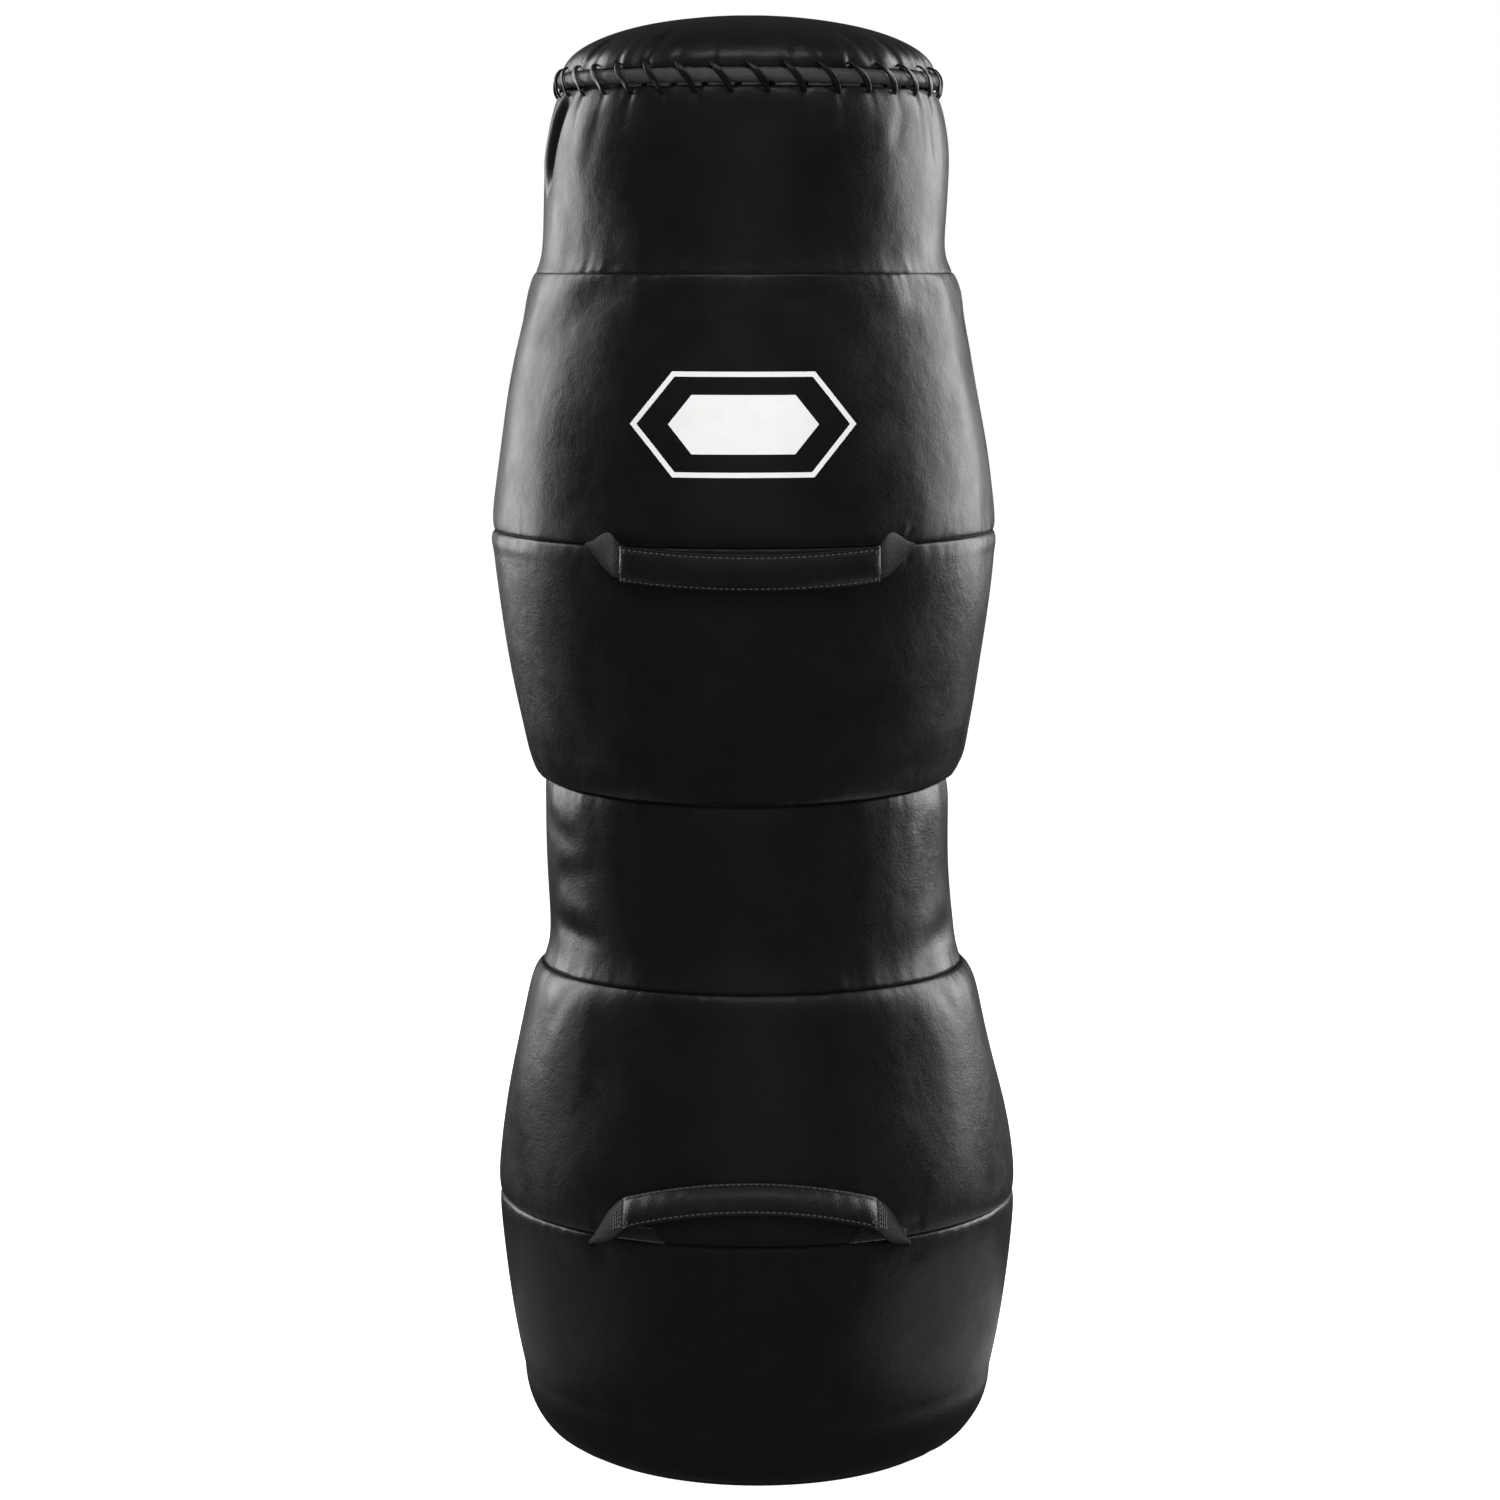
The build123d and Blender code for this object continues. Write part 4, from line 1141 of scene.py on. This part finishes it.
def bow_line():
    """The strap's middle line, (across, out): an arc with straight ends, its knees averaged round."""
    sizes = bpy.context.scene.dummy_handle
    half = math.asin(sizes.grip_spread / sizes.grip_radius)
    turn = np.linspace(-half, half, 300)
    arc = np.stack([sizes.grip_radius * np.sin(turn),
                    sizes.bow_depth - sizes.grip_radius * (1 - np.cos(turn))], axis=1)
    root = np.array([sizes.root_spread, 0])
    ends = np.linspace(0, 1, 80, endpoint=False)[:, None]
    left = root * [-1, 1] * (1 - ends) + arc[0] * ends
    right = (arc[-1] * (1 - ends) + root * ends)[1:]
    line = np.concatenate([left, arc, right, [root]])
    along = np.concatenate([[0], np.cumsum(np.hypot(*np.diff(line, axis=0).T))])
    marks = np.linspace(0, along[-1], 601)
    even = np.stack([np.interp(marks, along, line[:, i]) for i in (0, 1)], axis=1)
    window = np.hanning(31)
    window /= window.sum()
    padded = np.concatenate([2 * even[0] - even[15:0:-1], even, 2 * even[-1] - even[-2:-17:-1]])
    smooth = np.stack([np.convolve(padded[:, i], window, mode="valid") for i in (0, 1)], axis=1)
    return marks - along[-1] / 2, smooth


def strap_frame(stations):
    """Points, directions along and directions out of the strap at distances from its middle."""
    marks, line = bow_line()
    point = np.stack([np.interp(stations, marks, line[:, i]) for i in (0, 1)], axis=1)
    slope = np.gradient(line, marks, axis=0)
    along = np.stack([np.interp(stations, marks, slope[:, i]) for i in (0, 1)], axis=1)
    along /= np.hypot(along[:, 0], along[:, 1])[:, None]
    outward = np.stack([-along[:, 1], along[:, 0]], axis=1)
    return point, along, outward


class Handle:
    """Where one handle hangs: its joint's line and how far it is raised at rest."""

    def __init__(self, name):
        self.name = name
        self.body = f"{name}_handle"
        self.front = -1 if "front" in name else 1
        self.hinge = JOINTS[f"{name}_handle_lift"]["pos_m"]
        low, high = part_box(f"{name}_padding")
        outward = abs(low[1] + high[1]) / 2 - abs(self.hinge[1])
        upward = (low[2] + high[2]) / 2 - self.hinge[2]
        self.raised = math.atan2(upward, outward)

    def place(self, across, out, up):
        """Points of the bow (across, out, up) put where the handle hangs."""
        far = abs(self.hinge[1]) + out * math.cos(self.raised) - up * math.sin(self.raised)
        high = self.hinge[2] + out * math.sin(self.raised) + up * math.cos(self.raised)
        return np.stack([-self.front * across, self.front * far, high], axis=-1)


def strap_grid(handle, stations, up, out):
    """A closed section, up and out[station, point], carried along the strap."""
    point, _, outward = strap_frame(stations)
    across = point[:, 0, None] + outward[:, 0, None] * out
    away = point[:, 1, None] + outward[:, 1, None] * out
    return handle.place(across, away, up)


def lens_grid(handle, half_length, half_height, half_thickness, flange, edge_thickness, wrinkle):
    """A padded lens with flat edges, flattened at both ends: swell = (1 - level squared) to the 0.62."""
    share = np.linspace(-1, 1, 90)
    stations = half_length * (0.75 * share + 0.25 * np.sin(share * np.pi / 2))
    level = np.sin(np.linspace(-np.pi / 2, np.pi / 2, 31))
    padded = 1 - flange / half_height
    swell = np.clip(1 - (level / padded) ** 2, 0, 1) ** 0.62
    end = np.clip((half_length - np.abs(stations)) / (9 * MM), 0, 1)
    puff = np.sqrt(np.clip(1 - (1 - end) ** 2, 0, 1))[:, None]
    uneven = wrinkle * ripple(stations / half_length * 3, 51 + len(handle.name), 3, 16)[:, None]
    edge = edge_thickness * np.clip((1 - np.abs(level)) / 0.03, 0.35, 1) ** 0.5
    thick = edge + (half_thickness - edge_thickness + uneven) * swell * puff
    up = np.concatenate([level, level[-2:0:-1]]) * half_height
    out = np.concatenate([thick, -thick[:, -2:0:-1]], axis=1)
    return strap_grid(handle, stations, up[None] + 0 * out, out)


def grip_piece(handle):
    """The leather grip with its foam padding and load strap inside; gives half the grip's length."""
    sizes = bpy.context.scene.dummy_handle
    half_length = sizes.grip_radius * math.asin(sizes.grip_spread / sizes.grip_radius)
    half_height, half_thickness = sizes.grip_height / 2, sizes.grip_thickness / 2
    grid = lens_grid(handle, half_length, half_height, half_thickness + 0.6 * MM,
                     flange=0.72 * sizes.flange, edge_thickness=1.5 * MM, wrinkle=0.12 * MM)
    piece = join_tubes(f"{handle.name}_sleeve_grip", [grid], material_named("grip"))
    finish_handle_piece(piece, handle)
    grid = lens_grid(handle, half_length - 8 * MM, half_height - 3.6 * MM, half_thickness - 2.4 * MM,
                     flange=0.3 * MM, edge_thickness=0.6 * MM, wrinkle=0)
    piece = join_tubes(f"{handle.name}_padding", [grid], material_named("foam"))
    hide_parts(f"{handle.name}_padding")
    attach(piece, handle.body)
    # The load strap through it, gathered to a narrow root at both ends.
    marks, _ = bow_line()
    stations = np.linspace(marks[0] + 2 * MM, marks[-1] - 2 * MM, 120)
    wide = np.interp(marks[-1] - np.abs(stations), np.array([0, 10, 30, 200]) * MM,
                     np.array([1.5, 3, 9, 9]) * MM)
    ring = np.arange(12) * np.pi / 6
    up = wide[:, None] * np.cos(ring)
    out = 0.45 * MM * np.sin(ring) + 0 * up
    grid = strap_grid(handle, stations, up, out)
    piece = join_tubes(f"{handle.name}_webbing", [grid], material_named("webbing"))
    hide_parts(f"{handle.name}_webbing")
    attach(piece, handle.body)
    return half_length


def finish_handle_piece(piece, handle):
    """Hides the frame's sleeve and hangs a leather piece of a handle on the handle's body."""
    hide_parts(f"{handle.name}_sleeve")
    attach(piece, handle.body)


def tab_pieces(handle, half_length):
    """The flared ends: a leaf from the root to behind the grip, fuller above than below."""
    full = bow_line()[0][-1]
    grids = []
    flare = 20.0 if handle.name.startswith("chest") else 17.5
    for side in (-1, 1):
        inwards = np.linspace(-3 * MM, full - half_length + 16 * MM, 44)
        stations = side * (full - np.clip(inwards, 0, None))
        reach = inwards / MM
        # The leaf's upper and lower edge, in millimetres, at distances from its root.
        top = np.interp(reach, [-3, 0, 6, 14, 24, 33, 41, 50, 62, 80],
                        [0.8, 3, 4.6, 9.5, 16, flare, flare, 16.5, 13.6, 12])
        low = np.interp(reach, [-3, 0, 6, 14, 26, 38, 50, 80], [0.8, 3, 4.2, 7.5, 12.5, 14.6, 14.4, 12])
        smooth = np.array([1, 2, 3, 2, 1]) / 9
        top[2:-2] = np.convolve(top, smooth, mode="valid")
        low[2:-2] = np.convolve(low, smooth, mode="valid")
        level = np.sin(np.linspace(-np.pi / 2, np.pi / 2, 17))
        height = np.where(level[None] > 0, level[None] * top[:, None], level[None] * low[:, None]) * MM
        # Thickest at the root, with rounded edges, cupped, and set back behind the grip.
        body = (1.1 * MM + 1.9 * MM * np.exp(-reach / 16))[:, None]
        thin = body * np.sqrt(np.clip(1.04 - level ** 4, 0, 1))[None]
        thin *= np.clip((reach + 3.4) / 3.4, 0.2, 1)[:, None]
        cup = -1.0 * MM * (level ** 2)[None] * np.clip(reach / 30, 0, 1)[:, None]
        behind = -1.2 * MM * np.clip((reach - 46) / 12, 0, 1)[:, None]
        out = np.concatenate([thin + cup + behind, (-thin + cup + behind)[:, -2:0:-1]], axis=1)
        up = np.concatenate([height, height[:, -2:0:-1]], axis=1)
        point, along, outward = strap_frame(stations)
        past = np.clip(-inwards, 0, None) * side
        across = point[:, 0, None] + outward[:, 0, None] * out + (along[:, 0] * past)[:, None]
        away = point[:, 1, None] + outward[:, 1, None] * out + (along[:, 1] * past)[:, None]
        grids.append(handle.place(across, away, up))
    piece = join_tubes(f"{handle.name}_sleeve_tabs", grids, material_named("handle"))
    finish_handle_piece(piece, handle)


def handle_stitches(handle, half_length):
    """Stitch rows along both edges of the grip, across its ends and across the tabs."""
    sizes = bpy.context.scene.dummy_handle
    rows = []

    def add_row(stations, up, face, lift):
        """A row on one face of the strap: its points, their direction and the way out of the leather."""
        point, _, outward = strap_frame(stations)
        near, far = face * lift, face * lift + face
        centre = handle.place(point[:, 0] + outward[:, 0] * near, point[:, 1] + outward[:, 1] * near, up)
        tip = handle.place(point[:, 0] + outward[:, 0] * far, point[:, 1] + outward[:, 1] * far, up)
        away = tip - centre
        along = np.gradient(centre, axis=0)
        rows.append((centre, along / np.linalg.norm(along, axis=1)[:, None],
                     away / np.linalg.norm(away, axis=1)[:, None]))

    edge = sizes.grip_height / 2 - 2.0 * MM
    long_marks = np.arange(-half_length + 4 * MM, half_length - 4 * MM, sizes.stitch * 1.35)
    cross = np.arange(-edge + 1.5 * MM, edge, sizes.stitch * 1.3)
    # Rows across the strap: distance past the grip's end and height over its middle, in millimetres.
    across = [(-2.2, 2.3), (-5.2, 3.9)]
    if handle.name.startswith("hip"):
        across += [(3.5, 1.55), (7.0, 1.55), (10.5, 1.55), (14.0, 1.55)]
    for face in (1, -1):
        for up in (-edge, edge):
            add_row(long_marks, up + 0 * long_marks, face, 1.62 * MM)
        for gap, lift in across:
            reach = np.clip(1 - gap / 34, 0.3, 1)  # the tab narrows towards its root
            for side in (-1, 1):
                add_row(side * (half_length + gap * MM) + 0 * cross, cross * reach, face, lift * MM)
    stitches_piece(f"{handle.name}_stitches", rows, sizes.stitch, handle.body)


def anchor_piece(handle, row):
    """The strap's roots: a stub out of the seam for each end and, at the hips, the tongue beside it."""
    sizes = bpy.context.scene.dummy_handle
    body = "upper_body" if row == "chest" else "lower_body"
    band = "shoulder" if row == "chest" else "hip"
    seam_radius = CHEST_RADIUS if row == "chest" else HIP_RADIUS
    seam_z = handle.hinge[2]
    grids = []
    for side in (-1, 1):
        root = np.array([side * sizes.root_spread, handle.hinge[1], seam_z])
        lean = np.array([lean_at(np.array(seam_z)), 0, seam_z])  # the seam's own middle
        inward = root - lean
        inward /= np.linalg.norm(inward)
        start = lean + inward * (seam_radius - 8 * MM)
        share = np.linspace(0, 1, 14)[:, None]
        path = start * (1 - share) + root * share
        ring = np.arange(16) * np.pi / 8
        beside = np.array([-inward[1], inward[0], 0])
        wide = (4.6 - 2.2 * share[:, 0]) * np.sqrt(np.clip(1.02 - share[:, 0] ** 8, 0, 1)) * MM
        tall = (3.4 - 1.0 * share[:, 0]) * np.sqrt(np.clip(1.02 - share[:, 0] ** 8, 0, 1)) * MM
        grids.append(path[:, None] + beside * (wide[:, None] * np.cos(ring))[..., None]
                     + np.array([0, 0, 1]) * (tall[:, None] * np.sin(ring))[..., None])
        if row == "hip":
            grids.append(tongue_grid(handle, side, seam_radius, seam_z, band))
    piece = join_tubes(f"{handle.name}_anchors", grids, material_named("webbing"))
    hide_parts(f"{handle.name}_anchors")
    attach(piece, body)


def tongue_grid(handle, side, seam_radius, seam_z, band):
    """A strap end sewn down above the seam: a flat strip that follows the cover, its free end slanting."""
    sizes = bpy.context.scene.dummy_handle
    root_angle = math.asin(sizes.root_spread / (seam_radius + 4.5 * MM))
    share = np.linspace(0, 1, 26)
    level = np.linspace(0, 1, 9)
    reach = (6 + 46 * share[:, None] + 5 * share[:, None] ** 3 * (1 - 2 * level[None])) * MM
    around = side * (root_angle - reach / seam_radius)
    up = (0.8 + 12.0 * level[None] * (0.55 + 0.45 * np.clip(share[:, None] / 0.25, 0, 1))) * MM
    height = seam_z + up + 0 * around
    top = cover_point(around, height, band, 1.5 * MM)
    bottom = cover_point(around, height, band, -1.2 * MM)
    if handle.front > 0:
        top, bottom = top * [-1, -1, 1], bottom * [-1, -1, 1]
        shift = 2 * lean_at(height)[..., None] * np.array([1, 0, 0])
        top, bottom = top + shift, bottom + shift
    return np.concatenate([top, bottom[:, ::-1]], axis=1)


class DUMMY_OT_handles(bpy.types.Operator):
    """Make the four strap handles with their stitches and roots"""
    bl_idname = "dummy.handles"
    bl_label = "Make Handles"

    def execute(self, context):
        for row in ("chest", "hip"):
            for side in ("front", "back"):
                handle = Handle(f"{row}_{side}")
                half_length = grip_piece(handle)
                tab_pieces(handle, half_length)
                handle_stitches(handle, half_length)
                anchor_piece(handle, row)
        return {"FINISHED"}


# Two tall softboxes behind the shoulders edge the dummy, a small one lights its top, a wide fill that
# gloss doesn't see lights the front, and two patches of bright floor shine up at the base.
# Name, degrees round from the front, distance, height, size, power, and whether gloss shows it.
LIGHTS = (("left_softbox", -122, 2.4, 1.40, (1.6, 2.3), 46, True),
          ("right_softbox", 118, 2.4, 1.42, (1.8, 2.3), 56, True),
          ("top_softbox", 0, 0.7, 2.9, (1.8, 0.5), 7, True),
          ("front_fill", 0, 3.6, 1.6, (2.4, 2.4), 150, False),
          ("right_bounce", 88, 0.50, 0.012, (0.50, 0.60), 0.42, True),
          ("left_bounce", -88, 0.50, 0.012, (0.50, 0.60), 0.15, True))


class DUMMY_OT_stage(bpy.types.Operator):
    """Make the pale floor, the soft studio lights and the camera"""
    bl_idname = "dummy.stage"
    bl_label = "Make Stage"

    def execute(self, context):
        colours = context.scene.dummy_colours
        mesh = bpy.data.meshes.new("studio_floor")
        mesh.from_pydata([(-9, -5, 0), (9, -5, 0), (9, 13, 0), (-9, 13, 0)], [], [(0, 1, 2, 3)])
        floor = bpy.data.objects.new("studio_floor", mesh)
        context.scene.collection.objects.link(floor)
        material, tree, shader, _ = start_material("Pale paper floor, evenly lit")
        paper = linear(colours.floor)
        wire(tree, shader, {"Base Color": paper, "Roughness": 0.9, "Emission Color": paper,
                            "Emission Strength": 1.15})
        mesh.materials.append(material)
        floor.visible_glossy = False
        floor.visible_diffuse = False
        self.world(context)
        for name, azimuth, distance, level, size, power, glossy in LIGHTS:
            lamp = bpy.data.lights.new(name, "AREA")
            lamp.shape = "RECTANGLE"
            lamp.size, lamp.size_y = size
            lamp.energy = power
            holder = bpy.data.objects.new(name, lamp)
            turn = math.radians(azimuth)
            holder.location = (distance * math.sin(turn), -distance * math.cos(turn), level)
            aim = Vector((0, 0, 1)) if "bounce" in name else Vector((0, 0, AIM_Z)) - holder.location
            holder.rotation_euler = aim.to_track_quat("-Z", "Y").to_euler()
            holder.visible_camera = False
            holder.visible_glossy = glossy
            context.scene.collection.objects.link(holder)
        self.camera(context)
        return {"FINISHED"}

    def world(self, context):
        """White behind the dummy for the eye, and a dim grey for what the leather reflects."""
        world = bpy.data.worlds.new("studio")
        world.use_nodes = True
        tree = world.node_tree
        tree.nodes.clear()
        seen = add_node(tree, "ShaderNodeBackground", {}, {"Color": (1, 1, 1, 1), "Strength": 1.0})
        dim = add_node(tree, "ShaderNodeBackground", {}, {"Color": (1, 1, 1, 1), "Strength": 0.045})
        path = add_node(tree, "ShaderNodeLightPath")
        mix = add_node(tree, "ShaderNodeMixShader", {}, {0: path.outputs["Is Camera Ray"],
                                                         1: dim.outputs[0], 2: seen.outputs[0]})
        add_node(tree, "ShaderNodeOutputWorld", {}, {"Surface": mix.outputs[0]})
        context.scene.world = world
        context.scene.view_settings.view_transform = "Standard"

    def camera(self, context):
        """A long lens a little below the dummy's top, looking slightly down."""
        lens = bpy.data.cameras.new("camera")
        lens.lens = 86.4
        lens.sensor_width = 36
        lens.clip_end = 50
        holder = bpy.data.objects.new("camera", lens)
        holder.location = (0, -3.014, 1.0139)
        holder.rotation_euler = Euler((math.radians(90 - 7.985), 0, 0))
        context.scene.collection.objects.link(holder)
        context.scene.camera = holder


class DUMMY_PT_panel(bpy.types.Panel):
    """The dummy's pieces, in the 3D view's sidebar"""
    bl_idname = "DUMMY_PT_panel"
    bl_label = "Grappling Dummy"
    bl_space_type = "VIEW_3D"
    bl_region_type = "UI"
    bl_category = "Dummy"

    def draw(self, context):
        for maker in MAKERS:
            self.layout.operator(maker.bl_idname)
        for group in GROUPS:
            settings = getattr(context.scene, group)
            for name in settings.__annotations__:
                self.layout.prop(settings, name)


GROUPS = {"dummy_cover": DummyCoverSizes, "dummy_rim": DummyRimSizes, "dummy_handle": DummyHandleSizes,
          "dummy_print": DummyPrintSizes, "dummy_colours": DummyColours}
MAKERS = (DUMMY_OT_stage, DUMMY_OT_stuffing, DUMMY_OT_cover, DUMMY_OT_crown, DUMMY_OT_rim,
          DUMMY_OT_print, DUMMY_OT_handles)


def register():
    for kind in (*GROUPS.values(), *MAKERS, DUMMY_PT_panel):
        bpy.utils.register_class(kind)
    for name, kind in GROUPS.items():
        setattr(bpy.types.Scene, name, bpy.props.PointerProperty(type=kind))


def unregister():
    for name in GROUPS:
        delattr(bpy.types.Scene, name)
    for kind in (DUMMY_PT_panel, *reversed(MAKERS), *reversed(GROUPS.values())):
        bpy.utils.unregister_class(kind)


def main():
    register()
    bpy.ops.dummy.stage()
    bpy.ops.dummy.stuffing()
    bpy.ops.dummy.cover()
    bpy.ops.dummy.crown()
    bpy.ops.dummy.rim()
    bpy.ops.dummy.chest_print()
    bpy.ops.dummy.handles()


if __name__ == "__main__":
    main()
